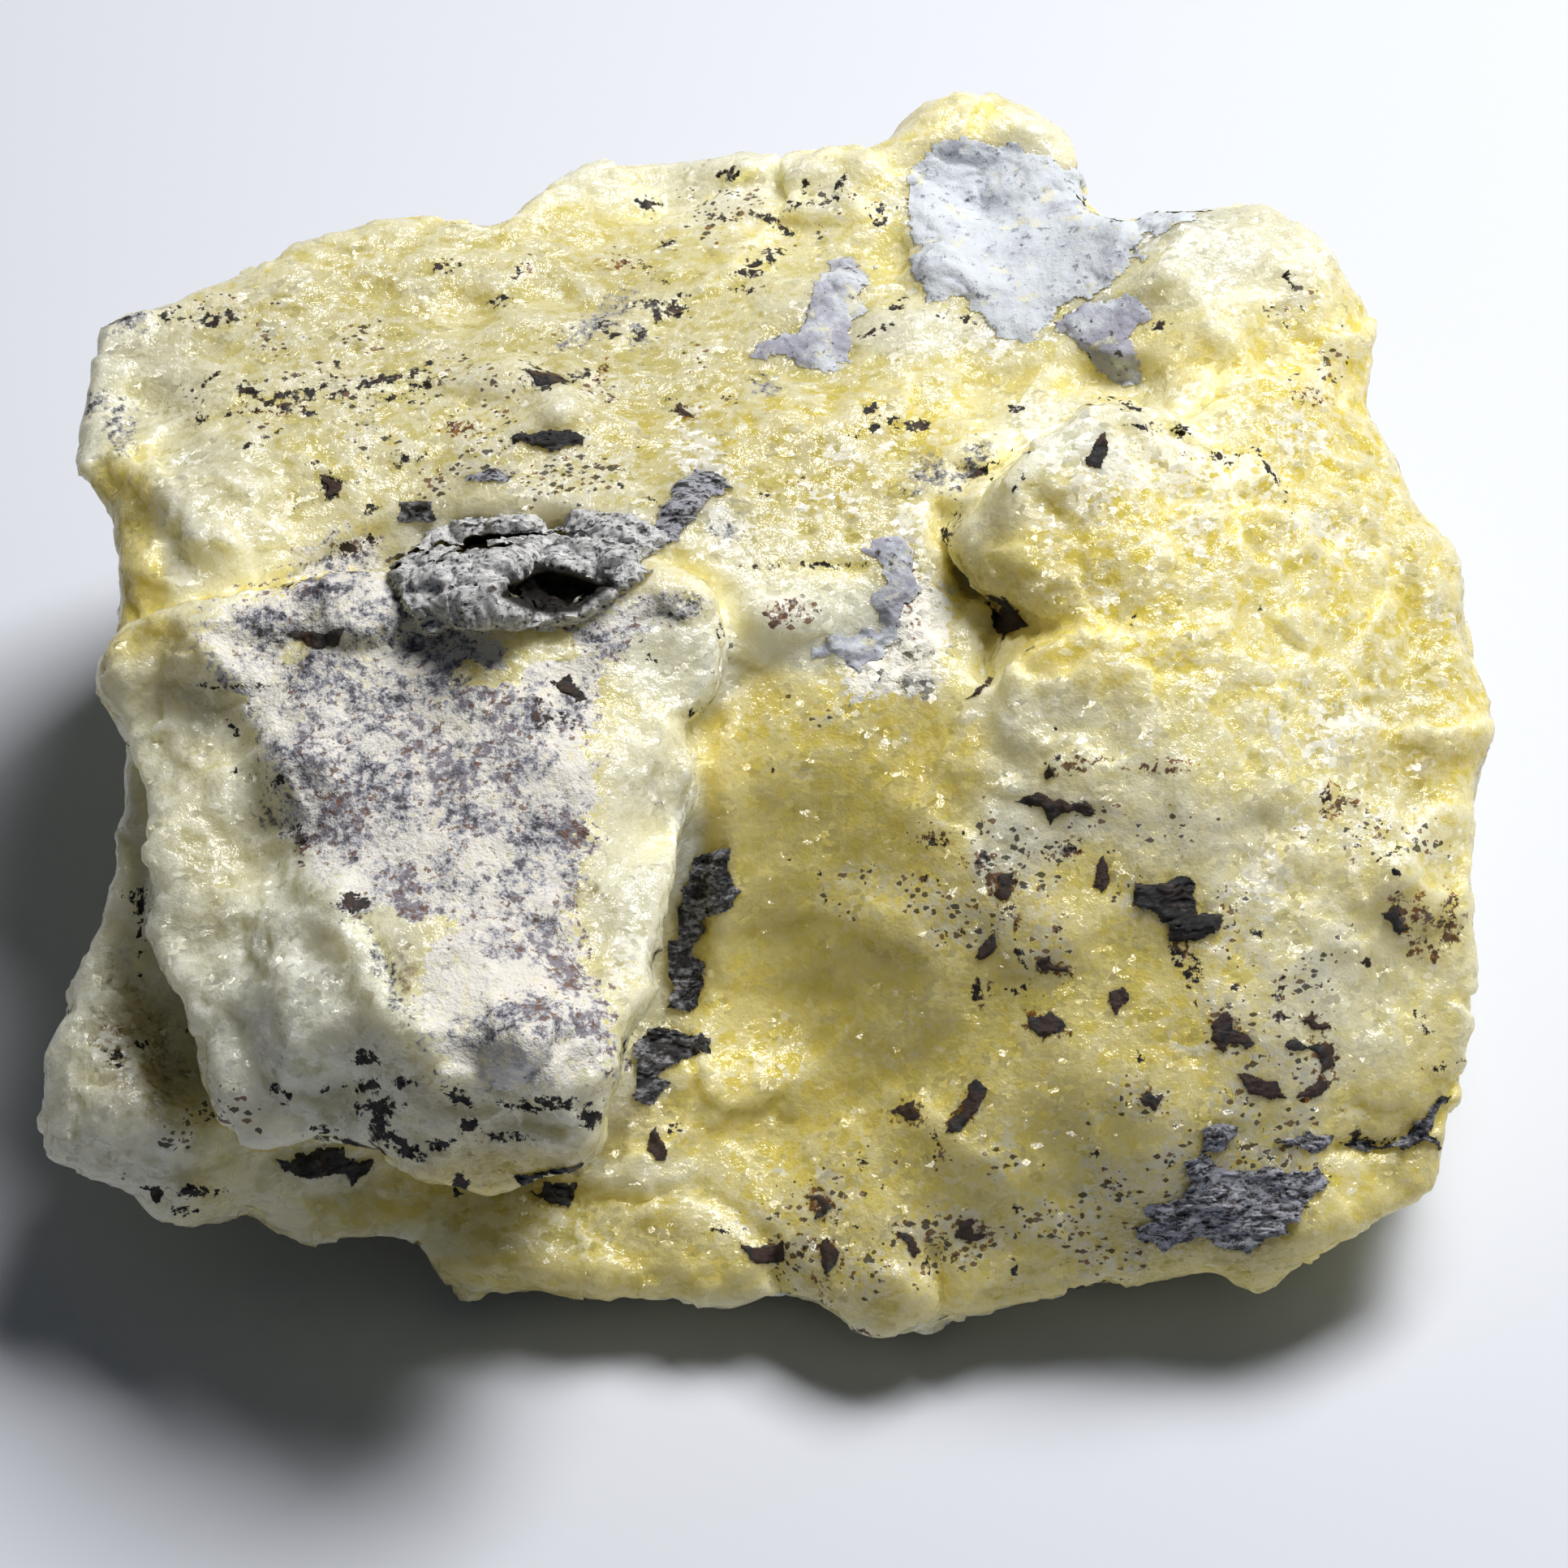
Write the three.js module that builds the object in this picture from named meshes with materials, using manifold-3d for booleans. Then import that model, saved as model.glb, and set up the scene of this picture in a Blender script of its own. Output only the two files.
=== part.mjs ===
// Brucite on matrix: a hand-sized mass of lemon-yellow brucite that carries scraps of its grey serpentine.
// The brucite grew as one piece. The scraps of matrix are pieces of their own, each seated in a socket.
//
// Every form is laid out on the stone's display face, in millimetres: u to the right, v up and w out of it.
// stand() then tips the face back over the bed, the flat that the stone rests on, z = 0 in the part's frame.
import * as THREE from "three";
import { ImprovedNoise } from "three/addons/math/ImprovedNoise.js";
import { mergeVertices } from "three/addons/utils/BufferGeometryUtils.js";
import Module from "manifold-3d";

const wasm = await Module();
wasm.setup();

// Driving sizes.
const FACE_RISE = THREE.MathUtils.degToRad(42); // slope of the display face above the bench
const BED_DROP = 21.5; // height of the face's centre above the bed
const FACE_SETOUT = 7; // how far the face's centre lies in front of the origin
const BACK_REACH = 38; // from the face's centre to the rear wall
const WALL_RELIEF = 2.5; // height of the swells in the rear wall
const BED_TRIM = 1.5; // stone below the bed that is cut off flat
const LIFT = 6; // how far the left front corner of the underside clears the bed
const LUMP_RELIEF = 0.7; // relief on a scrap's top, as a share of its height
const PLATE_EDGE = 0.15; // chamfer round a thin scale
const SOUND_FROM = 60; // height above the face from which its depth is sounded
const SOUND_STEP = 0.5; // between the soundings that are averaged
const SEAT_GAP = 0.3; // between a scrap of matrix and its socket

const STAND = new THREE.Matrix4()
  .makeRotationX(FACE_RISE)
  .setPosition(0, -FACE_SETOUT, BED_DROP);

const BRUCITE = new THREE.MeshStandardMaterial({ color: 0xe3dc9a, roughness: 0.45, metalness: 0 });
const SERPENTINE = new THREE.MeshStandardMaterial({ color: 0xc9ccd0, roughness: 0.85, metalness: 0 });
const SCALE = new THREE.MeshStandardMaterial({ color: 0x55555c, roughness: 0.55, metalness: 0.1 });

// The rim of the whole mass, from the right edge upwards and round: [u, v, w].
const BODY_RIM = [
  [33, 2.5, -6], [32.5, 6, -6.5], [31, 9.5, -8], [31.5, 11.5, -8], [30, 13.5, -9], [28, 16, -10],
  [27.5, 17.5, -11], [28, 19.5, -11], [27.5, 22.5, -11.5], [26.5, 25, -12.5], [24.5, 26.5, -13],
  [23, 27.5, -13.5], [20.5, 28, -14], [18, 27, -15], [15.5, 27.8, -16.5], [14, 29.5, -17.5],
  [13.5, 32, -19], [11.5, 33, -19], [9, 33.5, -19], [7, 33, -19], [5.5, 31.5, -19], [3, 30.3, -19],
  [0, 30.4, -20], [-3, 31.2, -21.5], [-6.5, 31, -21.5], [-10, 30.2, -21], [-12, 29, -20.5],
  [-13, 27.5, -19], [-14.5, 27, -18], [-16.5, 27.5, -18], [-17.5, 27, -17.5], [-19.5, 27.6, -18],
  [-21.5, 26, -17],
  [-24, 26, -17], [-26, 24.5, -16], [-28, 23, -15], [-31, 23, -14], [-32.5, 22, -13.5],
  [-33, 20.5, -13], [-33.5, 18.5, -12], [-33.5, 15, -10], [-32, 13.5, -9], [-31.5, 10.5, -7],
  [-30.5, 9, -6], [-31.5, 6.5, -5], [-32, 4.5, -4.5], [-31, 3, -4], [-30, 0.5, -3.5],
  [-30.5, -1.5, -3], [-31, -5, -2.5], [-32, -8, -2], [-34, -10.5, -1.5], [-34.5, -14.5, -1],
  [-33.5, -17, -0.5], [-31.5, -18.5, -0.5], [-30, -19.5, -1], [-27.5, -20.5, -1], [-25.5, -19.5, -2],
  [-24, -21, -3], [-22, -21.5, -3], [-19.5, -22, -3.5], [-17, -22, -4], [-16, -23.5, -4.5],
  [-13.5, -23.5, -4.5], [-10.5, -24, -4.5], [-7.5, -24.5, -4], [-4.5, -25, -3.5], [-1.5, -24.5, -3],
  [0, -24, -3], [1.5, -25.2, -2.5], [4, -26, -2], [7, -25.5, -2], [9, -25, -2.5], [11, -23.5, -3],
  [13, -23, -3.5], [15, -24, -3], [17.5, -23, -3.5], [19.5, -22, -3.5], [20.5, -23.5, -3],
  [22, -24, -3], [24.5, -22.5, -3], [27, -20.5, -3], [30, -19, -3.5], [31, -16, -3.5], [32, -13, -3],
  [32, -9, -3], [32, -5.5, -3], [32, -2.5, -3.5], [31.5, -0.5, -5], [32.5, 0.5, -5.5],
];

// Points of the mass's face: the rear terrace first, then the middle, the apron and the ledge.
const BODY_FACE = [
  [-29.5, 19, -11], [-21.5, 19, -8.5], [-14, 18.5, -6.5], [-27.5, 22, -13], [-20, 24.5, -14.5],
  [-13.5, 24, -14], [-6.5, 24.5, -14], [-6.5, 28, -20], [-0.5, 28, -17], [-12, 16, -4],
  [-21.5, 15.5, -5.5], [-27.5, 14, -5], [-26.5, 10, -3], [-4.5, 21, -9], [1.5, 21, -9], [4.5, 25.5, -14],
  [8.5, 29, -17], [13, 27.5, -15], [9, 21.5, -9.5], [14.5, 21.5, -9], [20.5, 24.5, -10],
  [25, 21.5, -9.5], [20, 19.5, -6.5], [24.5, 14, -5.5], [28.5, 7.5, -5],
  [-4.5, 11.5, -1.5], [-0.5, 15, -4.5], [3, 15.5, -5], [3, 10.5, -2.5], [7, 10, -4], [7, 4.5, -2],
  [-0.5, 7.5, -1.5], [16, 12, -2.5], [17, 3, -1.5], [27.5, 2.5, -2], [25.5, -3, 0.5], [29, -8, -1],
  [10.5, -3, 1], [18, -5, 2], [23.5, -9.5, 1.5], [12.5, -10.5, 1.5], [19.5, -15, 2], [8.5, -16, 0.5],
  [14, -20, -0.5], [21, -19.5, 0.5], [27, -17, -0.5], [4.5, -22, 0], [10.5, -21.5, -1],
  [-0.5, 0.5, -1.5], [1.5, -5, -3], [1.5, -10.5, -4.5], [-0.5, -15, -4], [-3, -18.5, -3],
  [-4, -9, -3.5], [4.5, -12, -2.5], [-13.5, -1.5, -2], [-21, -8.5, -2], [-25, -12.5, -1.5],
  [-13.5, -16.5, -4.5], [-31, -10, -0.5], [-30.5, -13.5, 2.5], [-28, -17, 2.5], [-25, -18, 0.5],
  [-19, -20.5, -2.5], [-13, -21.5, -2], [-6, -22.5, -1.5], [-0.5, -20, -1.5],
];

// The raised block at the front left, which overhangs the ledge and the hollow beside it.
const BLOCK_RIM = [
  [-2.5, 5.5, 0], [-3.5, 9.5, -0.5], [-6, 10, -1], [-10.5, 10.5, -1.5], [-15, 10, -2], [-20.5, 9.5, -2],
  [-25, 9, -2], [-28.5, 8.5, -3], [-30, 8, -3], [-31, 6.5, -2.5], [-32, 4.5, -2], [-30.5, 3, -1],
  [-29.5, 0.5, 0], [-29, -1.5, 0.5], [-29.5, -3.5, 1], [-29, -5.5, 2], [-29, -8, 2.5], [-27.5, -9, 3],
  [-26.5, -12, 3.5], [-26, -14, 4], [-24.5, -16, 4], [-22.5, -16.5, 4], [-19, -16, 4], [-17, -17.5, 4],
  [-13.5, -19, 4.5], [-11.5, -17.5, 5], [-8, -17, 5.5], [-8, -15.5, 6], [-7, -13, 6], [-6.5, -11, 5.5],
  [-5.5, -9.5, 5], [-6, -8, 4], [-5, -4.5, 2.5], [-3.5, -2, 1.5], [-4, -1, 1.5], [-3, 1.5, 1],
  [-4.5, 2.5, 0.5], [-3.5, 3.5, 0.5],
];
const BLOCK_FACE = [
  [-24.5, 6, 0.5], [-17, 4.5, 2], [-10, 6, 1.5], [-5.5, 6.5, 1], [-19, -1, 5], [-11.5, -1, 5],
  [-6, -1, 3], [-24.5, -1.5, 2], [-28.5, 2.5, -0.5], [-18.5, -6.5, 8], [-11.5, -6.5, 8],
  [-7, -6.5, 6.5], [-16.5, -11, 11.5], [-11, -12, 12.5], [-8, -13, 12], [-13, -15.5, 10.5],
  [-16.5, -15, 9.5], [-9.5, -16, 10.5], [-24.5, -6.5, 4.5], [-21, -11.5, 8], [-25, -13, 6],
  [-27, -5, 3], [-13.5, -17.5, 8], [-21, -14.5, 6.5],
];
const BLOCK_ROOT = -6; // depth at which the block is rooted in the mass

// Two broad cracked domes on the right, one above the other. Both run out into the right flank.
const DOMES = [
  {
    rim: [
      [29, 11, -9], [26.5, 13.2, -6.5], [23, 13.8, -3.5], [21.5, 15.4, -3.6], [18.8, 16.2, -4],
      [16.8, 17.4, -4.4], [13.6, 17.6, -4.8], [12, 16, -5], [10.2, 15, -5], [8.4, 12.6, -4.5],
      [7.4, 11.4, -4.5], [8.4, 9.4, -4], [9.8, 8.6, -4], [11.4, 6.8, -3.6], [14.6, 6, -3.5], [20, 6, -4], [25, 7, -6],
    ],
    face: [
      [14.5, 13, 1.4], [18.5, 12.4, 1], [11.2, 13, -0.8], [11.6, 10.2, 0.2], [16, 9, 1], [21.5, 10.4, -0.8],
      [25.5, 10.6, -4.4], [15, 16, -1.6], [19.4, 14.8, -1.4], [9.2, 11.4, -2],
    ],
  },
  {
    rim: [
      [30, 1.5, -7], [27.5, 4, -5], [23.5, 5, -3], [19.4, 6.6, -3], [16.4, 6.2, -3], [13.4, 7.4, -3.2],
      [11.2, 6.6, -3.4], [10, 5, -3.4], [9.6, 2.8, -3], [10.4, 1, -2], [11.8, 0.6, -1.6], [13.6, -1, -1],
      [16.8, -1.4, -1], [19.6, -0.8, -1], [22.6, -2, -1.4], [26.5, -1, -4],
    ],
    face: [
      [14.4, 4.4, 2], [18.4, 3.6, 2.8], [12, 3, 1.2], [15, 0.8, 2.6], [20, 0.6, 2.4], [23, 2, 0.8],
      [27, 1.6, -3.6],
    ],
  },
];
const DOME_ROOT = -8;

// Rounded rises (height above nought) and dips (below nought) in the mass's own face: [u, v, radius, height].
const BODY_SWELLS = [
  [20, 23.5, 6, 3], [25.5, 21, 3.5, 1.8], [24.5, 25, 3, 1.4], [17, 24.5, 3, 1.2], [5, 20.6, 2, 1.2],
  [-9.3, 18, 1.8, 1], [-2, 12.4, 2.6, 1.6], [0.8, 8.6, 3.4, 1.5], [-27, 12, 3.6, 1.8], [-21, 14, 3, 0.6],
  [-25, 19, 3, 0.8], [-15, 21, 4, -0.8], [-20, 23, 4, 0.9], [-28, 22, 3, 0.9], [0, 25, 4, 1],
  [-8, 28.5, 4, 1], [-2, 29, 3, 0.9], [9, 31.5, 3.5, 1], [28, 15, 3, 1.3], [29.5, 8.5, 3.4, 1.6],
  [30.5, 2.8, 3, 1.6], [28.5, -4.5, 3.6, 1.1], [29, -12, 3.4, 1.1], [12, -4.6, 7, 1.5], [12, -8, 5, 0.7],
  [5, -22.6, 3.4, 1.5], [25, -20, 5, 1.3], [11, -21.5, 3, 0.9], [20, -12, 5, 0.8], [2.5, -2, 3, -0.6],
  [8.4, 10, 2.2, -1.8], [10.4, 5, 2, -1.4], [8.2, 6.4, 2, -1.2], [0, -9, 5, -1.6], [4, -14, 3, -0.6],
  [-21, -17.4, 4, -1.8], [-13, -18, 4, -1.4], [-28.5, -9, 3, -1.6], [-31.5, -13.5, 3.6, 1.4],
  [-27.5, -18, 2.4, 1], [-18, -21.5, 3, 0.9], [-9, -22.5, 3, 0.8], [-2, -23, 2.4, 0.7], [6, 15, 2.6, -0.9],
  [20, 19, 2.4, -0.8], [23, 16.5, 2.4, -0.7], [18, -19, 3, 0.5],
];
const BLOCK_SWELLS = [
  [-26, 6, 3, 0.8], [-12, 7.2, 4, 0.8], [-5, 7.4, 2.6, 0.8], [-22, 1, 2.6, 0.8], [-16, 1.4, 3, -0.8],
  [-9, 0, 3, 0.9], [-6, -3.4, 2.2, -0.6], [-14.5, -3.6, 2.6, 0.7], [-20, -5.4, 2.4, 0.7],
  [-9, -6.4, 2.6, -0.7], [-13, -8.6, 2.4, -0.6], [-17.5, -9, 2, 0.8], [-23.5, -8, 3, 0.8],
  [-25, -13, 2.4, 0.8], [-19.5, -13.6, 2.4, -0.8], [-11, -11.4, 2.6, 0.7], [-7.4, -9, 1.8, 0.6],
];

// The scraps of matrix. proud and sunk are how far each stands out of the brucite and goes into it.
// Those that lie on the mass and run under the block are seated on: "body".
const SCRAPS = [
  {
    name: "matrix_wedge",
    material: SERPENTINE,
    proud: 0.9,
    sunk: 2.4,
    detail: 3,
    outline: [
      [17.2, 26.2], [15.6, 26.8], [13.8, 28.2], [10.6, 29.4], [8.4, 30], [7, 29.4], [5.8, 28], [6, 25.8],
      [5.6, 23.4], [7.2, 22.4], [8.6, 21.8], [10.2, 21], [12.2, 21.6], [14.6, 23.4], [16.2, 24.6],
    ],
  },
  {
    name: "matrix_tongue",
    material: SERPENTINE,
    proud: 0.5,
    sunk: 1.2,
    detail: 2,
    outline: [
      [4, 23.6], [3.6, 24.4], [1.2, 23.8], [0.8, 22.4], [-0.6, 21], [-2, 20], [-0.2, 20], [1.6, 19.4],
      [3.2, 19.8], [3.6, 21.6],
    ],
  },
  {
    name: "matrix_chip",
    material: SERPENTINE,
    proud: 0.7,
    sunk: 1.3,
    detail: 2,
    outline: [
      [17, 22.6], [15.8, 22.8], [14.2, 22.4], [12.4, 22], [13.4, 20.8], [14.8, 20], [15.8, 18.6], [16.8, 19],
      [16.4, 20.8],
    ],
  },
  {
    name: "matrix_knob",
    material: SERPENTINE,
    proud: 1.7,
    sunk: 3.2,
    detail: 3,
    outline: [
      [-5, 10.6], [-6.2, 11.6], [-8, 12], [-10.2, 12.2], [-13.6, 12], [-16.2, 11.6], [-17.6, 10.2],
      [-18, 9.2], [-17.2, 8.4], [-17, 7], [-15.8, 6.6], [-14, 7], [-12, 7.2], [-9.8, 7.2], [-7.6, 8.2],
      [-6.2, 9.4],
    ],
  },
  {
    name: "matrix_blade",
    material: SCALE,
    proud: 0.9,
    sunk: 1.1,
    outline: [
      [-2.4, 13.6], [-2.8, 14.2], [-4.2, 14], [-5, 12.6], [-5.6, 11.4], [-4.8, 10.6], [-4.2, 11.6],
      [-3.6, 12.6],
    ],
  },
  {
    name: "matrix_crescent",
    material: SERPENTINE,
    proud: 0.5,
    sunk: 1.2,
    detail: 2,
    outline: [
      [6.2, 8.4], [5.8, 10.2], [5, 11.4], [4, 10.2], [4.4, 8.8], [4, 7.6], [3, 7], [1.6, 6.8], [1.2, 5.8],
      [2.6, 4.8], [3.4, 5], [4.6, 6.2], [5.8, 7],
    ],
  },
  {
    name: "hollow_scale_upper",
    material: SCALE,
    proud: 0.4,
    sunk: 0.9,
    on: "body",
    outline: [
      [-2, -5.2], [-2.4, -4.4], [-2.2, -3], [-4.4, -3.6], [-5.4, -6.2], [-6, -8], [-5.4, -9],
      [-5.2, -10.2], [-4.4, -10.6], [-3.8, -9.2], [-3.8, -8.2], [-3.6, -7.2], [-3.2, -5.8],
    ],
  },
  {
    name: "hollow_scale_lower",
    material: SCALE,
    proud: 0.4,
    sunk: 0.9,
    on: "body",
    outline: [
      [-3.4, -12.4], [-3.6, -11.8], [-5.2, -11.2], [-6.2, -11], [-7.4, -11.6], [-7.6, -14], [-6.8, -15],
      [-5.6, -14.8], [-5.4, -13.6], [-4.8, -12.6],
    ],
  },
  {
    name: "apron_scale",
    material: SCALE,
    proud: 0.4,
    sunk: 0.9,
    outline: [
      [19.8, -6], [18.8, -5.4], [18.6, -4.2], [17.4, -4.2], [17, -4.6], [15.8, -4.4], [15.8, -5.4],
      [17.2, -6.4], [17.8, -7.4], [19.2, -7.2],
    ],
  },
  {
    name: "front_scale",
    material: SCALE,
    proud: 0.6,
    sunk: 1.1,
    outline: [
      [24.8, -17.6], [22.6, -17.6], [20.4, -17.2], [18.2, -17], [18, -17.8], [16.8, -19], [16, -20],
      [16.2, -21], [17.6, -21.2], [19.8, -21.2], [22, -20.8], [23, -20.2], [23.4, -19.2], [24.4, -18.6],
    ],
  },
  {
    name: "front_scale_left",
    material: SCALE,
    proud: 0.4,
    sunk: 0.9,
    outline: [[20.4, -15.6], [19.6, -15], [19, -15.4], [19, -16.6], [20, -16.4]],
  },
  {
    name: "front_scale_right",
    material: SCALE,
    proud: 0.4,
    sunk: 0.9,
    outline: [[24.6, -15.4], [23.4, -15.2], [22.2, -15.6], [23, -16.4], [24.4, -16.2]],
  },
  {
    name: "edge_seam",
    material: SCALE,
    proud: 0.5,
    sunk: 1,
    outline: [
      [30.6, -13.8], [29.8, -14.2], [28.6, -15.4], [27.2, -16.2], [25.4, -16.4], [26.8, -16.9],
      [28.8, -16.8], [30, -16.6], [30.2, -15.4],
    ],
  },
  {
    name: "terrace_scale_upper",
    material: SCALE,
    proud: 0.5,
    sunk: 0.9,
    outline: [[-9.2, 16.2], [-10, 16.3], [-12.2, 16.4], [-12.2, 15.4], [-10.8, 15.2], [-9.2, 15.2]],
  },
  {
    name: "terrace_scale_lower",
    material: SCALE,
    proud: 0.5,
    sunk: 0.9,
    outline: [[-16, 13.1], [-16.4, 13.3], [-18, 13.1], [-18, 12.2], [-17.4, 11.9], [-16, 12.3]],
  },
  {
    name: "terrace_scale_middle",
    material: SCALE,
    proud: 0.4,
    sunk: 0.9,
    outline: [[-12.8, 14.6], [-13.8, 14.8], [-15.2, 14.5], [-15, 13.8], [-14, 13.7], [-12.9, 13.8]],
  },
  {
    name: "nose_scale",
    material: SCALE,
    proud: 0.4,
    sunk: 0.9,
    on: "body",
    outline: [
      [-9.2, -17.6], [-10.6, -17.2], [-12.2, -17.8], [-12, -18.4], [-11, -19], [-10, -19.4], [-9.4, -18.6],
    ],
  },
  {
    name: "ledge_scale",
    material: SCALE,
    proud: 0.4,
    sunk: 0.9,
    on: "body",
    outline: [
      [-18.2, -17.4], [-18.6, -16.4], [-21.2, -16.4], [-23.8, -17.2], [-23.4, -17.8], [-21.8, -18.1],
      [-20, -18],
    ],
  },
];

// The dark cavity that is weathered into the knob of matrix.
const CAVITY = { at: [-10.3, 9, 3.4], radii: [3.1, 1.5, 3.4], relief: 0.6, wavelength: 3 };

const noise = new ImprovedNoise();

// Three octaves of noise with about the given wavelength. The first is folded, which gives crests and ledges.
function rough(point, wavelength) {
  let sum = 0;
  for (let octave = 0; octave < 3; octave++) {
    const scale = 2 ** octave / wavelength;
    const swing = noise.noise(point.x * scale + 31, point.y * scale + 17, point.z * scale + 7);
    sum += (octave === 0 ? 0.5 - 2 * Math.abs(swing) : swing) / 2 ** octave;
  }
  return sum;
}

// Keeps only the places of the corners, and shares the corners between the triangles.
function bare(geometry) {
  geometry.deleteAttribute("normal");
  geometry.deleteAttribute("uv");
  return mergeVertices(geometry, 1e-5);
}

// A unit ball of small triangles.
function ball(detail) {
  return bare(new THREE.IcosahedronGeometry(1, detail));
}

// The height of the swells at a point of the face.
function swell(swells, u, v) {
  let height = 0;
  for (const [atU, atV, radius, rise] of swells) {
    const near = 1 - ((u - atU) ** 2 + (v - atV) ** 2) / radius ** 2;
    if (near > 0) height += rise * near ** 2;
  }
  return height;
}

// Moves each corner along its normal, by noise of the given height.
function weather(geometry, height, wavelength) {
  geometry.computeVertexNormals();
  const position = geometry.getAttribute("position");
  const normal = geometry.getAttribute("normal");
  const point = new THREE.Vector3();
  const outward = new THREE.Vector3();
  for (let i = 0; i < position.count; i++) {
    point.fromBufferAttribute(position, i);
    outward.fromBufferAttribute(normal, i);
    point.addScaledVector(outward, height * rough(point, wavelength));
    position.setXYZ(i, point.x, point.y, point.z);
  }
  geometry.deleteAttribute("normal");
  return geometry;
}

// A smooth surface w(u, v) through scattered points, weighted by nearness, with the swells upon it.
function through(points, swells = [], softness = 1.2) {
  return (u, v) => {
    let total = 0;
    let sum = 0;
    for (const [pu, pv, pw] of points) {
      const weight = ((u - pu) ** 2 + (v - pv) ** 2 + softness ** 2) ** -1.6;
      total += weight;
      sum += weight * pw;
    }
    return sum / total + swell(swells, u, v);
  };
}

// A closed form: its outline is the rim, a ring of [u, v, w], and its sides are front(u, v) and back(u, v).
// A higher shoulder gives a flatter side with a tighter edge.
// waist is the height on the ball that becomes the rim: the lower it is, the finer the front.
function pillow({ rim, front, back, detail, shoulder = 3, waist = 0 }) {
  const corners = rim.map(([u, v, w]) => new THREE.Vector3(u, v, w));
  const centre = corners.reduce((sum, p) => sum.add(p), new THREE.Vector3()).divideScalar(corners.length);
  const ring = new THREE.CatmullRomCurve3(corners, true, "centripetal");
  const geometry = ball(detail);
  const position = geometry.getAttribute("position");
  const direction = new THREE.Vector3();
  for (let i = 0; i < position.count; i++) {
    direction.fromBufferAttribute(position, i).normalize();
    const turn = (Math.atan2(direction.y, direction.x) / (2 * Math.PI) + 1) % 1;
    const above = direction.z > waist;
    const climb = above ? (direction.z - waist) / (1 - waist) : (waist - direction.z) / (1 + waist);
    const spread = Math.sqrt(Math.max(0, 1 - climb));
    const edge = ring.getPoint(turn);
    const u = THREE.MathUtils.lerp(centre.x, edge.x, spread);
    const v = THREE.MathUtils.lerp(centre.y, edge.y, spread);
    const depth = above ? front(u, v) : back(u, v);
    const rise = (1 - spread ** shoulder) ** (1 / shoulder);
    position.setXYZ(i, u, v, THREE.MathUtils.lerp(edge.z, depth, rise));
  }
  return geometry;
}

function stand(geometry) {
  return geometry.applyMatrix4(STAND);
}

function solid(geometry) {
  const vertProperties = geometry.getAttribute("position").array;
  const triVerts = new Uint32Array(geometry.index.array);
  return new wasm.Manifold(new wasm.Mesh({ numProp: 3, vertProperties, triVerts }));
}

function geometryOf(manifold) {
  const { vertProperties, triVerts } = manifold.getMesh();
  return new THREE.BufferGeometry()
    .setAttribute("position", new THREE.BufferAttribute(vertProperties, 3))
    .setIndex(new THREE.BufferAttribute(triVerts, 1));
}

// The far side of the mass: the bed, the broken rear wall and the raised left front corner of the underside.
function underside(u, v) {
  const bed = (-(BED_DROP + BED_TRIM) - v * Math.sin(FACE_RISE)) / Math.cos(FACE_RISE);
  const hump = WALL_RELIEF * rough(new THREE.Vector3(u, v, 0), 14) - (Math.abs(u) / 22) ** 3;
  const wall = (v * Math.cos(FACE_RISE) - BACK_REACH - hump) / Math.sin(FACE_RISE);
  const corner = THREE.MathUtils.smoothstep(-u, 6, 22) * THREE.MathUtils.smoothstep(-v, 4, 16);
  return Math.max(bed, wall) + LIFT * corner;
}

// A form of stone: a pillow whose skin is weathered to the given relief.
function stone({ relief, wavelength, ...form }) {
  return solid(stand(weather(pillow(form), relief, wavelength)));
}

const body = stone({
  rim: BODY_RIM,
  front: through(BODY_FACE, BODY_SWELLS),
  back: underside,
  detail: 11,
  shoulder: 3.2,
  waist: -0.5,
  relief: 1,
  wavelength: 8,
});
const block = stone({
  rim: BLOCK_RIM,
  front: through(BLOCK_FACE, BLOCK_SWELLS),
  back: () => BLOCK_ROOT,
  detail: 7,
  shoulder: 4,
  waist: -0.5,
  relief: 0.7,
  wavelength: 5,
});
const domes = DOMES.map(({ rim, face }) =>
  stone({
    rim,
    front: through(face),
    back: () => DOME_ROOT,
    detail: 4,
    shoulder: 4,
    waist: -0.6,
    relief: 0.6,
    wavelength: 5,
  }),
);
const bench = solid(bare(new THREE.BoxGeometry(200, 200, 40).translate(0, 0, -20)));

const mass = domes.reduce((sum, dome) => sum.add(dome), body).subtract(bench);
let brucite = mass.add(block);

// Depth of a solid's surface below a point of the display face: the mean of a few soundings round it.
// A sounding that misses the stone is taken nearer to the centre.
function depthOn(manifold) {
  const target = new THREE.Mesh(geometryOf(manifold), new THREE.MeshBasicMaterial());
  const caster = new THREE.Raycaster();
  const inward = new THREE.Vector3(0, 0, -1).transformDirection(STAND);
  const sound = (u, v, centre) => {
    for (let step = 0; step <= 1; step += 0.1) {
      const start = new THREE.Vector3(
        THREE.MathUtils.lerp(u, centre.x, step),
        THREE.MathUtils.lerp(v, centre.y, step),
        SOUND_FROM,
      );
      caster.set(start.applyMatrix4(STAND), inward);
      const [hit] = caster.intersectObject(target);
      if (hit) return SOUND_FROM - hit.distance;
    }
    throw new Error("a scrap of matrix lies off the stone");
  };
  const around = [[0, 0], [SOUND_STEP, 0], [-SOUND_STEP, 0], [0, SOUND_STEP], [0, -SOUND_STEP]];
  return (u, v, centre) =>
    around.reduce((sum, [du, dv]) => sum + sound(u + du, v + dv, centre), 0) / around.length;
}

const depthOf = { body: depthOn(mass), whole: depthOn(brucite) };

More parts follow.
